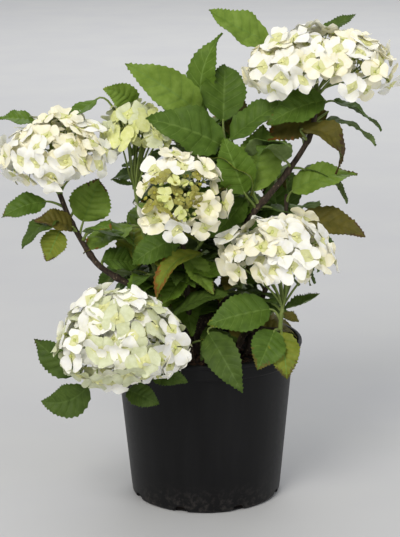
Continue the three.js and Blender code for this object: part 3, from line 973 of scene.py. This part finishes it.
def grow_mass(node, rng, pile):
    """The shoots of one mass, dealt round its middle."""
    _, _, centre, half = node_box(node)
    shoots = max(2, round(half.prod() ** (1 / 3) / (SHOOT_ROOM_MM * MM)))
    for shoot in range(shoots):
        angle = 2 * math.pi * (shoot + rng.uniform(-0.2, 0.2)) / shoots
        aim = np.array([math.cos(angle), math.sin(angle), rng.uniform(-0.5, 0.7)])
        end = centre + aim * half * 0.42
        nearest = int(np.argmin(np.linalg.norm(ALL_CANE_POINTS - end + [0, 0, 0.03], axis=1)))
        heading = unit(aim * [1, 1, 0] + np.array([0, 0, 0.7]))
        grow_shoot(ALL_CANE_POINTS[nearest], end, heading, centre, half, rng, pile)
    return shoots


for number, name in enumerate(MASS_NODES):
    rng = np.random.default_rng(SEED + 100 + number)
    print(name, "shoots:", grow_mass(name, rng, rear_pile if "back" in name else inner_pile))
for name, pile, rear in (("leaves_inner", inner_pile, False), ("leaves_rear", rear_pile, True)):
    make_piece(name, pile, list(leaf_materials.values()),
               [n for n in MASS_NODES if ("back" in n) == rear])
make_piece("leaf_stalks", stalk_pile, [stalk_green])
make_piece("twigs", twig_pile, [stalk_green])

# %% [markdown]
# ## The flower
# One flower has four broad sepals, 12 to 19 mm long, round a bead of a bud. Each kind of
# piece is modelled once: the pale outer part of the sepals, their green claws, the bud and the
# thin stalk below. A geometry tree then repeats each over the dome of the head. It is run once
# for each kind with the same seed, so the four kinds meet in every flower.

# %% Flower pieces
SEPAL_LENGTH_MM = 15.5
SEPAL_WIDTH_MM = 21.0
SEPAL_MM = 0.35
CLAW_SHARE = 0.28


def sepal_grid(first, last, rows):
    """Part of one sepal, from one share of its length to another."""
    columns = np.array([-1, -0.5, 0, 0.5, 1])
    shares = np.linspace(first, last, rows)
    along, across = np.meshgrid(shares, columns, indexing="ij")
    breadth = np.clip(along, 0.03, 1) ** 0.55 * np.sqrt(np.clip(1.2 - along ** 3.5, 0, 1))
    x = (1.4 + along * (SEPAL_LENGTH_MM - 1.4) * (1 - 0.1 * across ** 2)) * MM
    y = across * breadth * SEPAL_WIDTH_MM / 2 * MM
    z = (1.2 + 3.2 * along ** 1.4 - 3.0 * along ** 3 + 1.5 * (across * along) ** 2) * MM
    return np.stack([x, y, z], axis=-1)


def thin_sheet(grid, pile):
    """The grid as a closed sheet, thick in the middle and brought to an edge all round."""
    rows, columns = grid.shape[:2]
    count = rows * columns
    inner = [i * columns + j for i in range(1, rows - 1) for j in range(1, columns - 1)]
    under_of = list(range(count))
    for k, i in enumerate(inner):
        under_of[i] = count + k
    points = grid.reshape(-1, 3)
    under = points[inner] - np.array([0, 0, SEPAL_MM * MM])
    faces = []
    for i in range(rows - 1):
        for j in range(columns - 1):
            a = i * columns + j
            quad = (a, a + columns, a + columns + 1, a + 1)
            faces.append(quad)
            faces.append(tuple(under_of[k] for k in reversed(quad)))
    pile.add(np.concatenate([points, under]), faces)


def hidden_object(name, pile):
    mesh = bpy.data.meshes.new(name)
    mesh.from_pydata(np.concatenate(pile.points).tolist(), [], pile.faces)
    mesh.polygons.foreach_set("use_smooth", [True] * len(mesh.polygons))
    return bpy.data.objects.new(name, mesh)


def four_sepals(name, first, last, rows):
    pile = Pile()
    rng = np.random.default_rng(SEED)
    for quarter in range(4):
        grid = sepal_grid(first, last, rows)
        grid[..., 2] += (quarter % 2) * 0.5 * MM
        grid *= rng.uniform(0.9, 1.08)
        angle = quarter * math.pi / 2 + rng.uniform(-0.12, 0.12)
        c, s = math.cos(angle), math.sin(angle)
        thin_sheet(grid @ np.array([[c, s, 0], [-s, c, 0], [0, 0, 1]]), pile)
    return hidden_object(name, pile)


def bead(name, radius_mm, height):
    """A small pointed bud: a few rings closed at both ends."""
    pile = Pile()
    z = np.linspace(-0.95, 0.95, 5)
    line = np.stack([z * 0, z * 0, (z + 0.6) * radius_mm * height * MM], axis=1)
    radii = np.sqrt(np.clip(1 - z ** 2, 0.02, 1)) * radius_mm * MM
    tube(pile, line, radii, 6)
    return hidden_object(name, pile)


def thin_stalk(name, length_mm):
    pile = Pile()
    line = np.array([[0.0, 0, 0.8], [0.6, 0.2, -0.4 * length_mm], [0, 0, -length_mm]]) * MM
    tube(pile, smooth_line(line, 4), np.linspace(0.7, 0.5, 4) * MM, 4)
    return hidden_object(name, pile)


sepal_blades = four_sepals("sepal blades", CLAW_SHARE, 1.0, 5)
sepal_claws = four_sepals("sepal claws", 0.0, CLAW_SHARE, 3)
flower_bud = bead("flower bud", 1.7, 1.1)
closed_bud = bead("closed bud", 1.9, 1.15)
flower_stalk = thin_stalk("flower stalk", 20)
print("faces in a flower:", len(sepal_blades.data.polygons) + len(sepal_claws.data.polygons))

# %% [markdown]
# ## The scatter tree
# Points are dealt over the dome no closer than a set spacing, as flowers jostle for room. A
# point is kept only where the dome faces the right way, which leaves the underside to the
# stalks. Each point then gets one piece, turned to face outwards and a little up, with its own
# size, lean and spin. A share of them takes the second colour.

# %% Scatter tree
SCATTER_INPUTS = (
    ("Piece", "NodeSocketObject", None),
    ("Spacing", "NodeSocketFloat", 0.015),
    ("Seed", "NodeSocketInt", 0),
    ("Smallest", "NodeSocketFloat", 0.8),
    ("Largest", "NodeSocketFloat", 1.1),
    ("Lean", "NodeSocketFloat", 0.35),
    ("Lift", "NodeSocketFloat", 0.3),
    ("Depth", "NodeSocketFloat", 0.003),
    ("Axis", "NodeSocketVector", (0, 0, 1)),
    ("Facing From", "NodeSocketFloat", -1.0),
    ("Facing To", "NodeSocketFloat", 2.0),
    ("Side", "NodeSocketVector", (0, 0, 1)),
    ("Side From", "NodeSocketFloat", -2.0),
    ("Material", "NodeSocketMaterial", None),
    ("Second Material", "NodeSocketMaterial", None),
    ("Second Share", "NodeSocketFloat", 0.0),
)


def scatter_tree():
    """The geometry tree: deal points, place a piece on each, and colour it by one of two."""
    tree = bpy.data.node_groups.new("scatter_on_dome", "GeometryNodeTree")
    tree.interface.new_socket("Geometry", in_out="INPUT", socket_type="NodeSocketGeometry")
    for name, kind, default in SCATTER_INPUTS:
        socket = tree.interface.new_socket(name, in_out="INPUT", socket_type=kind)
        if default is not None:
            socket.default_value = default
    tree.interface.new_socket("Geometry", in_out="OUTPUT", socket_type="NodeSocketGeometry")
    given = add_node(tree, "NodeGroupInput").outputs

    normal = add_node(tree, "GeometryNodeInputNormal").outputs["Normal"]
    facing = add_node(tree, "ShaderNodeVectorMath", {0: normal, 1: given["Axis"]},
                      operation="DOT_PRODUCT").outputs["Value"]
    above = add_node(tree, "FunctionNodeCompare", {0: facing, 1: given["Facing From"]},
                     operation="GREATER_THAN").outputs[0]
    below = add_node(tree, "FunctionNodeCompare", {0: facing, 1: given["Facing To"]},
                     operation="LESS_THAN").outputs[0]
    banded = add_node(tree, "FunctionNodeBooleanMath", {0: above, 1: below}).outputs[0]
    sideways = add_node(tree, "ShaderNodeVectorMath", {0: normal, 1: given["Side"]},
                        operation="DOT_PRODUCT").outputs["Value"]
    on_side = add_node(tree, "FunctionNodeCompare", {0: sideways, 1: given["Side From"]},
                       operation="GREATER_THAN").outputs[0]
    kept = add_node(tree, "FunctionNodeBooleanMath", {0: banded, 1: on_side}).outputs[0]
    density = add_node(tree, "ShaderNodeMath", {0: 3.0, 1: given["Spacing"]},
                       operation="DIVIDE").outputs[0]
    density = add_node(tree, "ShaderNodeMath", {0: density, 1: given["Spacing"]},
                       operation="DIVIDE").outputs[0]
    dealt = add_node(tree, "GeometryNodeDistributePointsOnFaces", {
        "Mesh": given["Geometry"], "Selection": kept, "Distance Min": given["Spacing"],
        "Density Max": density, "Seed": given["Seed"]}, distribute_method="POISSON")

    sunk = add_node(tree, "ShaderNodeMath", {0: given["Depth"], 1: -1.0}, operation="MULTIPLY")
    depth = add_node(tree, "FunctionNodeRandomValue", {
        "Min": sunk.outputs[0], "Max": given["Depth"], "Seed": 1}, data_type="FLOAT")
    shift = add_node(tree, "ShaderNodeVectorMath", {
        0: dealt.outputs["Normal"], "Scale": depth.outputs[1]}, operation="SCALE")
    points = add_node(tree, "GeometryNodeSetPosition", {
        "Geometry": dealt.outputs["Points"], "Offset": shift.outputs[0]})

    lift = add_node(tree, "ShaderNodeVectorMath", {0: given["Axis"], "Scale": given["Lift"]},
                    operation="SCALE")
    outward = add_node(tree, "ShaderNodeVectorMath", {
        0: dealt.outputs["Normal"], 1: lift.outputs[0]}, operation="ADD")
    turned = add_node(tree, "FunctionNodeAlignRotationToVector", {"Vector": outward.outputs[0]},
                      axis="Z")
    back = add_node(tree, "ShaderNodeMath", {0: given["Lean"], 1: -1.0}, operation="MULTIPLY")
    least = add_node(tree, "ShaderNodeCombineXYZ", {
        "X": back.outputs[0], "Y": back.outputs[0], "Z": -math.pi})
    most = add_node(tree, "ShaderNodeCombineXYZ", {
        "X": given["Lean"], "Y": given["Lean"], "Z": math.pi})
    habit = add_node(tree, "FunctionNodeRandomValue", {
        "Min": least.outputs[0], "Max": most.outputs[0], "Seed": 2}, data_type="FLOAT_VECTOR")
    spin = add_node(tree, "FunctionNodeEulerToRotation", {"Euler": habit.outputs[0]})
    pose = add_node(tree, "FunctionNodeRotateRotation", {
        "Rotation": turned.outputs[0], "Rotate By": spin.outputs[0]}, rotation_space="LOCAL")
    size = add_node(tree, "FunctionNodeRandomValue", {
        "Min": given["Smallest"], "Max": given["Largest"], "Seed": 3}, data_type="FLOAT")
    piece = add_node(tree, "GeometryNodeObjectInfo", {"Object": given["Piece"]})
    placed = add_node(tree, "GeometryNodeInstanceOnPoints", {
        "Points": points.outputs[0], "Instance": piece.outputs["Geometry"],
        "Rotation": pose.outputs[0], "Scale": size.outputs[1]})
    choice = add_node(tree, "FunctionNodeRandomValue", {"Seed": 4}, data_type="FLOAT")
    marked = add_node(tree, "GeometryNodeStoreNamedAttribute", {
        "Geometry": placed.outputs[0], "Name": "choice", "Value": choice.outputs[1]},
        data_type="FLOAT", domain="INSTANCE")
    real = add_node(tree, "GeometryNodeRealizeInstances", {"Geometry": marked.outputs[0]})
    coloured = add_node(tree, "GeometryNodeSetMaterial", {
        "Geometry": real.outputs[0], "Material": given["Material"]})
    mark = add_node(tree, "GeometryNodeInputNamedAttribute", {"Name": "choice"})
    second = add_node(tree, "FunctionNodeCompare", {
        0: mark.outputs[0], 1: given["Second Share"]}, operation="LESS_THAN").outputs[0]
    recoloured = add_node(tree, "GeometryNodeSetMaterial", {
        "Geometry": coloured.outputs[0], "Selection": second, "Material": given["Second Material"]})
    add_node(tree, "NodeGroupOutput", {"Geometry": recoloured.outputs[0]})
    return tree


SCATTER = scatter_tree()
print("scatter tree nodes:", len(SCATTER.nodes))

# %% [markdown]
# The tree is run by a modifier on a throwaway object, and what it makes is kept as a plain
# mesh. The copies are then ruffled: slow waves shift their corners, so that no two flowers
# stay quite alike. The whole pot and the domes use the same way from modifier to mesh.

# %% Run the tree
RUFFLE_WAVE_MM = 19


def evaluated_mesh(carrier):
    """The mesh that an object's modifiers make of it. The object itself is removed."""
    graph = bpy.context.evaluated_depsgraph_get()
    mesh = bpy.data.meshes.new_from_object(carrier.evaluated_get(graph))
    bpy.data.objects.remove(carrier)
    return mesh


def scatter(surface, piece, first, second, values):
    """The mesh that the scatter tree makes of one piece on a surface, in two materials."""
    values = {**values, "Piece": piece, "Material": first, "Second Material": second}
    carrier = bpy.data.objects.new("carrier", surface)
    bpy.context.scene.collection.objects.link(carrier)
    modifier = carrier.modifiers.new("scatter", "NODES")
    modifier.node_group = SCATTER
    for item in SCATTER.interface.items_tree:
        if item.name in values and item.in_out == "INPUT":
            modifier[item.identifier] = values[item.name]
    return evaluated_mesh(carrier)


def ruffle(points, wave_mm, depth_mm):
    """Points shifted by slow waves, so that no two repeated pieces stay quite alike."""
    x, y, z = (2 * math.pi * points / (wave_mm * MM)).T
    shift = np.stack([np.sin(y + 1.3 * np.sin(0.7 * z)), np.sin(z + 1.1 * np.sin(0.8 * x) + 2),
                      np.sin(x + 1.2 * np.sin(0.9 * y) + 4)], axis=1)
    return points + shift * depth_mm * MM


def join_meshes(meshes, depth_mm=0.0):
    """Several meshes as one, ruffled, with their materials kept."""
    pile, materials = Pile(), []
    for mesh in meshes:
        for material in mesh.materials:
            if material and material not in materials:
                materials.append(material)
        which = [materials.index(m) if m else 0 for m in mesh.materials]
        points = np.array([v.co for v in mesh.vertices])
        pile.add(ruffle(points, RUFFLE_WAVE_MM, depth_mm), [tuple(p.vertices) for p in mesh.polygons],
                 [which[p.material_index] for p in mesh.polygons])
    return pile, materials


print("sepals are ruffled in waves of", RUFFLE_WAVE_MM, "mm")

# %% [markdown]
# ## The flower heads
# Each head's dome comes from the frame: its solid is merged and smoothed, and the flowers are
# dealt over it. The axis of a head is the way it opens. The young head is still small, yellow
# and loose, and the centre head has a crowd of closed buds in its middle, ringed by flowers.
# Inside each dome a smaller one carries closed buds and stalk ends, which is what shows
# between the flowers.

# %% How each head grows
FULL_HEAD = {
    "Spacing": 0.0158, "Smallest": 0.88, "Largest": 1.15, "Lean": 0.36, "Lift": 0.0,
    "Depth": 0.0045, "Facing From": -0.7, "Facing To": 2.0, "Second Share": 0.45}
YOUNG_HEAD = {**FULL_HEAD, "Spacing": 0.0115, "Smallest": 0.66, "Largest": 0.95, "Lean": 0.6}
RING_HEAD = {**FULL_HEAD, "Spacing": 0.0165, "Facing From": -0.45, "Facing To": 0.82,
             "Side": (-0.05, 0.1, 0.99), "Side From": -0.85}
UNDER_LAYER = {"Spacing": 0.0145, "Smallest": 0.75, "Largest": 1.0, "Second Share": 0.2}
INNER_BUDS = {**FULL_HEAD, "Spacing": 0.0075, "Smallest": 0.6, "Largest": 1.1,
              "Facing From": -0.8}
OLIVE_MIDDLE = {"Smallest": 0.36, "Largest": 0.56, "Lean": 0.7, "Side": (0, 0, 1),
                "Facing From": 0.82, "Side From": -0.4}
OLIVE_BUDS = {"Smallest": 0.7, "Largest": 1.2, "Spacing": 0.006}

# Which way a head opens, its habit, how much of the frame's solid its dome takes, how much it
# narrows towards its top, and the two materials of its sepals.
COMMON_HEAD = {"habit": FULL_HEAD, "dome": 0.92, "narrowing": 0.1,
               "petals": (petal_cream, petal_white)}
HEADS = {
    "flower_head_top_right": {**COMMON_HEAD, "opens": (0.0, -0.12, 1.0)},
    "flower_head_left": {**COMMON_HEAD, "opens": (-0.15, -0.2, 1.0)},
    "flower_head_young": {**COMMON_HEAD, "opens": (0.0, -0.1, 1.0), "habit": YOUNG_HEAD,
                          "dome": 1.0, "petals": (petal_young, petal_green_and_shade)},
    "flower_head_centre": {**COMMON_HEAD, "opens": (-0.14, -0.94, 0.3), "habit": RING_HEAD,
                           "dome": 0.87, "narrowing": 0.0},
    "flower_head_right": {**COMMON_HEAD, "opens": (0.0, -0.2, 1.0), "narrowing": 0.18},
    # The low left head's greenish sepals are greener and, as painted shade, darker.
    "flower_head_low_left": {**COMMON_HEAD, "opens": (-0.1, -0.55, 0.83), "dome": 0.85,
                             "narrowing": 0.28, "petals": (petal_white, petal_green_and_shade)},
}
print("flowers stand", FULL_HEAD["Spacing"] / MM, "mm apart on a full head")

# %% [markdown]
# The solid of the frame is a little larger than the head's flowers reach, so the dome is drawn
# in, and its corners are rounded off by two steps of subdivision. The outer flowers stand on
# the dome, an under layer on a smaller one, and the closed buds inside on a smaller one still.

# %% Head surfaces
DOME_STEPS = 2
UNDER_DOME, INNER_DOME, OLIVE_DOME = 0.76, 0.55, 0.82
RUFFLE_MM = 1.5


def dome_surface(node, scale):
    """The head's dome, smoothed, and drawn in towards its centre by the scale."""
    points, which = merged_points(node)
    centre = (points.max(axis=0) + points.min(axis=0)) / 2
    height = (points[:, 2] - centre[2]) / (points[:, 2].max() - centre[2])
    narrowing = 1 - HEADS[node]["narrowing"] * height
    points[:, :2] = centre[:2] + (points[:, :2] - centre[:2]) * narrowing[:, None]
    faces = [tuple(int(which[i]) for i in p.vertices) for p in nodes[node].data.polygons]
    mesh = bpy.data.meshes.new("dome")
    mesh.from_pydata((centre + (points - centre) * scale).tolist(), [], faces)
    carrier = bpy.data.objects.new("dome", mesh)
    bpy.context.scene.collection.objects.link(carrier)
    smoother = carrier.modifiers.new("smooth", "SUBSURF")
    smoother.levels = smoother.render_levels = DOME_STEPS
    return evaluated_mesh(carrier)


print("dome faces:", len(dome_surface("flower_head_left", UNDER_DOME).polygons))

# %% Grow the heads
claw_meshes, bud_meshes, stalk_meshes = [], [], []


def grow_head(number, name):
    """One head's sepals as a piece of their own, and its claws, buds and stalks set aside."""
    head = HEADS[name]
    young, ring = name == "flower_head_young", name == "flower_head_centre"
    axis = tuple(Vector(head["opens"]).normalized())
    habit = {**head["habit"], "Seed": SEED + number, "Axis": axis}
    layers = [(dome_surface(name, head["dome"]), habit)]
    if not young:
        under = {**habit, **UNDER_LAYER, "Seed": SEED + 20 + number}
        layers.append((dome_surface(name, UNDER_DOME), under))
    sepals = [scatter(dome, sepal_blades, *head["petals"], layer) for dome, layer in layers]
    pile, materials = join_meshes(sepals, RUFFLE_MM)
    make_piece(name.replace("flower_head", "petals"), pile, materials,
               [name])
    claw = petal_young if young else petal_claw
    for dome, layer in layers:
        claw_meshes.append(scatter(dome, sepal_claws, claw, claw, layer))
        bud_meshes.append(scatter(dome, flower_bud, bud_green, petal_claw, layer))
        stalk_meshes.append(scatter(dome, flower_stalk, stalk_green, stalk_green, layer))
    inner = {**INNER_BUDS, "Seed": SEED + 50 + number, "Axis": axis}
    dome = dome_surface(name, INNER_DOME)
    bud_meshes.append(scatter(dome, closed_bud, bud_green, petal_claw, inner))
    if ring:
        dome, middle = dome_surface(name, OLIVE_DOME), {**inner, **OLIVE_MIDDLE}
        small = {**middle, "Second Share": 0.2}
        for piece in (sepal_blades, sepal_claws, flower_bud):
            claw_meshes.append(scatter(dome, piece, petal_olive, petal_young, small))
        bud_meshes.append(scatter(dome, closed_bud, bud_olive, bud_green, {**middle, **OLIVE_BUDS}))


for number, name in enumerate(HEAD_NODES):
    grow_head(number, name)
for name, meshes, slot in (("sepal_claws", claw_meshes, "young_petal"),
                           ("flower_buds", bud_meshes, "young_petal"),
                           ("floret_stalks", stalk_meshes, "green_stem")):
    pile, materials = join_meshes(meshes, RUFFLE_MM)
    make_piece(name, pile, materials)

# %% [markdown]
# ## Flower stalks
# Under a head the cane divides into a spray of pale stalks, which spread like the ribs of an
# umbrella. They start at the cane's end and reach to points inside the dome.

# %% Flower stalk sprays
RIBS = 13
RIB_MM = (1.2, 0.75)
GOLDEN_TURN = 2.4  # radians between one rib and the next, so that they fill the head evenly


def nearest_cane_end(centre):
    ends = {name: line[-1] for name, (line, _) in cane_lines.items()}
    name = min(ends, key=lambda n: np.linalg.norm(ends[n] - centre))
    line, place = cane_lines[name][0], fork_place(name)
    return line[place], unit(np.gradient(line, axis=0)[place])


spray_pile = Pile()
for number, name in enumerate(HEAD_NODES):
    rng = np.random.default_rng(SEED + 300 + number)
    _, _, centre, half = node_box(name)
    start, way = nearest_cane_end(centre)
    axis = unit(np.array(HEADS[name]["opens"]))
    across = unit(np.cross(axis, [0.3, 0.1, 0.9]))
    beside = np.cross(axis, across)
    for rib in range(RIBS):
        angle = rib * GOLDEN_TURN
        spread = math.sqrt((rib + 0.5) / RIBS)
        aim = across * math.cos(angle) * spread + beside * math.sin(angle) * spread
        end = centre + aim * half * 0.82 + axis * half * (0.35 - 0.5 * spread ** 2)
        leaving = unit(way + 0.5 * aim)
        line = stalk_line(start + rng.normal(0, 0.6, 3) * MM, leaving, end, unit(aim + axis), 12)
        tube(spray_pile, line, np.linspace(*RIB_MM, len(line)) * MM, 6)
make_piece("flower_stalk_sprays", spray_pile, [stalk_green])

# %% [markdown]
# ## Pot
# A nursery pot is moulded thin: a tapering wall, a stacking band that steps out near the top and
# a rolled lip. Its foot is cut by eight drain notches. The profile is turned on a lathe, with
# small round steps where the mould has them, and the notches are cut through the turned wall.

# %% Pot
POT_SECTIONS = 128
NOTCHES = 8
NOTCH_MM = (7.5, 6.5)  # half its width, and its height
_, _, _, POT_HALF = node_box("pot")
RIM = POT_HALF[0] / MM
TALL = 2 * POT_HALF[2] / MM
BASE, SHOULDER, BAND, WALL = 73, 86, 93, 1.6  # three radii and the wall's thickness, in mm
STEP = TALL - 17


def arc(centre_r, centre_z, radius, first, last, steps=5):
    angles = np.radians(np.linspace(first, last, steps))
    return [(centre_r + radius * math.cos(a), centre_z + radius * math.sin(a)) for a in angles]


def wall(z):
    """The tapering wall's outer radius at a height."""
    return BASE + (SHOULDER - BASE) * z / STEP


def pot_profile():
    """Radius and height, from the underside's middle, up the outside and down the inside."""
    outside = [(0.0, 0.0), (BASE - 7, 0.0), (BASE - 5, 0.0)]
    outside += arc(BASE - 4, 4.2, 4.2, -75, 0)
    outside += [(wall(z), z) for z in np.linspace(10, STEP - 2, 14)]
    outside += arc(SHOULDER + 1.5, STEP - 0.5, 1.5, 180, 90, 4)
    outside += arc(BAND - 1.5, STEP + 2.5, 1.5, -90, 0, 4)
    outside += [(BAND, z) for z in np.linspace(STEP + 5, TALL - 6.5, 4)]
    outside += arc(BAND + 0.8, TALL - 5, 0.8, 180, 90, 3)
    outside += arc(RIM - 1.4, TALL - 3, 1.4, -90, 0, 4) + arc(RIM - 1.4, TALL - 1.4, 1.4, 0, 90, 4)
    inside = arc(BAND - WALL + 0.9, TALL - 0.9, 0.9, 90, 180, 4)
    inside += [(BAND - WALL, TALL - 6), (BAND - WALL, STEP + 4), (SHOULDER - WALL, STEP - 1)]
    inside += [(wall(z) - WALL, z) for z in np.linspace(STEP - 8, 6, 8)]
    inside += [(wall(4) - WALL - 3, 1.8), (0.0, 1.8)]
    return outside + inside


def lathe_pile(profile, sections, pile):
    """A closed turned solid. The profile starts and ends on the axis and runs anticlockwise."""
    turns = np.linspace(0, 2 * math.pi, sections, endpoint=False)
    inner = np.array(profile[1:-1]) * MM
    points = [np.array([0, 0, profile[0][1] * MM]), np.array([0, 0, profile[-1][1] * MM])]
    for r, z in inner:
        points.extend(np.stack([r * np.cos(turns), r * np.sin(turns), turns * 0 + z], axis=1))
    faces = []
    for j in range(sections):
        k = (j + 1) % sections
        faces.append((0, 2 + k, 2 + j))
        last = 2 + (len(inner) - 1) * sections
        faces.append((1, last + j, last + k))
        for i in range(len(inner) - 1):
            a, b = 2 + i * sections + j, 2 + i * sections + k
            faces.append((a, b, b + sections, a + sections))
    pile.add(points, faces)


def cut_notches(pot):
    """The pot's mesh with an arched notch cut through its foot at each of eight places."""
    cutters = Pile()
    half_wide, tall = NOTCH_MM
    for i in range(NOTCHES):
        angle = math.radians(25 + 360 / NOTCHES * i)
        out = np.array([math.cos(angle), math.sin(angle), 0]) * BASE * MM
        along = np.array([-math.sin(angle), math.cos(angle), 0])
        arch = [(s, (1 - abs(s) ** 3) * tall * MM) for s in np.linspace(-1, 1, 9)]
        arch += [(1, -3 * MM), (-1, -3 * MM)]
        near, far = ([out * depth + along * s * half_wide * MM + [0, 0, z] for s, z in arch]
                     for depth in (0.93, 1.08))
        n = len(near)
        faces = [tuple(range(n)), tuple(range(2 * n - 1, n - 1, -1))]
        faces += [(a, a + n, (a + 1) % n + n, (a + 1) % n) for a in range(n)]
        cutters.add(near + far, faces)
    cutter = hidden_object("notch cutters", cutters)
    bpy.context.scene.collection.objects.link(cutter)
    cut = pot.modifiers.new("notches", "BOOLEAN")
    cut.object, cut.solver = cutter, "EXACT"
    mesh = evaluated_mesh(pot)
    bpy.data.objects.remove(cutter)
    return mesh


pot_pile = Pile()
lathe_pile(pot_profile(), POT_SECTIONS, pot_pile)
whole_pot = hidden_object("whole pot", pot_pile)
bpy.context.scene.collection.objects.link(whole_pot)
pot_mesh = cut_notches(whole_pot)
pot_mesh.materials.clear()
pot_mesh.materials.append(pot_plastic)
pot_mesh.polygons.foreach_set("use_smooth", [True] * len(pot_mesh.polygons))
pot_mesh.set_sharp_from_angle(angle=math.radians(50))
place_piece("pot_shell", pot_mesh, ["pot"])

# %% [markdown]
# ## Compost
# The compost fills the pot to a little under its rim and is lumpy, with chips of bark lying on
# it. The fill is one closed solid with an uneven top. The chips are small rough wedges, dealt
# over the top by the scatter tree.

# %% Compost
FILL_RADIUS, _, FILL_TOP = node_box("compost")[1] / MM


def compost_solid():
    pile = Pile()
    rings = [(FILL_RADIUS - 0.2) * math.sqrt(k / 18) for k in range(18, 0, -1)]
    profile = [(0.0, 2.6), (68.0, 2.6), (70.0, 6.0), (FILL_RADIUS - 1.0, FILL_TOP - 7)]
    profile += [(r, FILL_TOP - 2 - 2.5 * (r / FILL_RADIUS) ** 8) for r in rings]
    profile += [(0.0, FILL_TOP - 2)]
    lathe_pile(profile, 72, pile)
    points = pile.points[0]
    top = points[:, 2] > (FILL_TOP - 6) * MM
    x, y = points[top, 0] / MM, points[top, 1] / MM
    lumps = np.sin(x / 5.1 + 2 * np.sin(y / 7.3)) + np.cos(y / 4.3 + 2 * np.sin(x / 8.1))
    points[top, 2] += (0.7 * lumps + 0.5 * np.sin(x * 0.71) * np.cos(y * 0.93)) * MM
    return pile


def chip_object():
    pile = Pile()
    rng = np.random.default_rng(SEED + 7)
    corners = np.array([(x, y, z) for z in (-1, 1) for y in (-1, 1) for x in (-1, 1)], float)
    corners *= np.array([3.6, 1.7, 0.7]) * MM
    corners += rng.uniform(-0.5, 0.5, corners.shape) * MM
    faces = [(0, 2, 3, 1), (4, 5, 7, 6), (0, 1, 5, 4), (2, 6, 7, 3), (0, 4, 6, 2), (1, 3, 7, 5)]
    pile.add(corners, faces)
    return hidden_object("bark chip", pile)


fill_pile = compost_solid()
make_piece("compost_fill", fill_pile, [compost_fine], ["compost"])
fill_surface = bpy.data.meshes.new("compost top")
fill_surface.from_pydata(fill_pile.points[0].tolist(), [], fill_pile.faces)
chips = scatter(fill_surface, chip_object(), compost_bark, compost_fine, {
    "Spacing": 0.0036, "Seed": SEED, "Smallest": 0.4, "Largest": 1.25, "Lean": 0.45,
    "Lift": 0.0, "Depth": 0.0008, "Axis": (0, 0, 1), "Facing From": 0.6, "Facing To": 2.0,
    "Second Share": 0.45})
chip_pile, chip_materials = join_meshes([chips])
make_piece("compost_chips", chip_pile, chip_materials)

# %% [markdown]
# ## Floor and light
# The plant stands on a plain pale floor that runs out of sight. A broad soft lamp above and to
# the left gives the form, a weaker one on the right opens the shadows, and a pale sky fills in,
# much as in a white nursery booth.

# %% Floor, lamps and sky
def floor_material():
    """Matt paint: it takes a soft shadow and gives no reflection."""
    material, tree, place = new_material("matt_painted_floor")
    colour, grain = patchy_colour(tree, place, 180, ["#bfbfc0", "#c1c1c1", "#c3c3c2"], 2.0)
    surface = add_node(tree, "ShaderNodeBsdfPrincipled", {
        "Base Color": colour, "Roughness": 0.85, "Normal": bump(tree, grain, 0.2, 0.3)})
    finish_material(tree, surface)
    return material


FLOOR_SIZE = 14.0
floor_mesh = bpy.data.meshes.new("floor")
half_floor = FLOOR_SIZE / 2
floor_mesh.from_pydata([(x, y, 0) for y in (-half_floor, half_floor)
                        for x in (-half_floor, half_floor)], [], [(0, 1, 3, 2)])
floor_mesh.materials.append(floor_material())
floor = bpy.data.objects.new("floor", floor_mesh)
bpy.context.scene.collection.objects.link(floor)


def lamp(name, place, target, size, power, colour):
    data = bpy.data.lights.new(name, "AREA")
    data.shape, data.size, data.energy = "DISK", size, power
    data.color = linear(colour)[:3]
    item = bpy.data.objects.new(name, data)
    item.location = place
    item.rotation_euler = (Vector(target) - Vector(place)).to_track_quat("-Z", "Y").to_euler()
    bpy.context.scene.collection.objects.link(item)


PLANT_MIDDLE = (0, 0, 0.25)
lamp("key lamp", (-0.9, -2.1, 2.1), PLANT_MIDDLE, 1.3, 50, "#fffcf7")
lamp("fill lamp", (1.9, -1.4, 1.0), PLANT_MIDDLE, 1.6, 9, "#f6f8ff")
lamp("back lamp", (0.4, 3.4, 3.0), (0, 3.0, 0), 3.0, 74, "#ffffff")

world = bpy.data.worlds.new("pale booth")
bpy.context.scene.world = world
world.use_nodes = True
sky = world.node_tree.nodes["Background"]
sky.inputs["Color"].default_value = linear("#e9ebee")
sky.inputs["Strength"].default_value = 0.64
print("floor", FLOOR_SIZE, "m, three lamps and a pale sky")
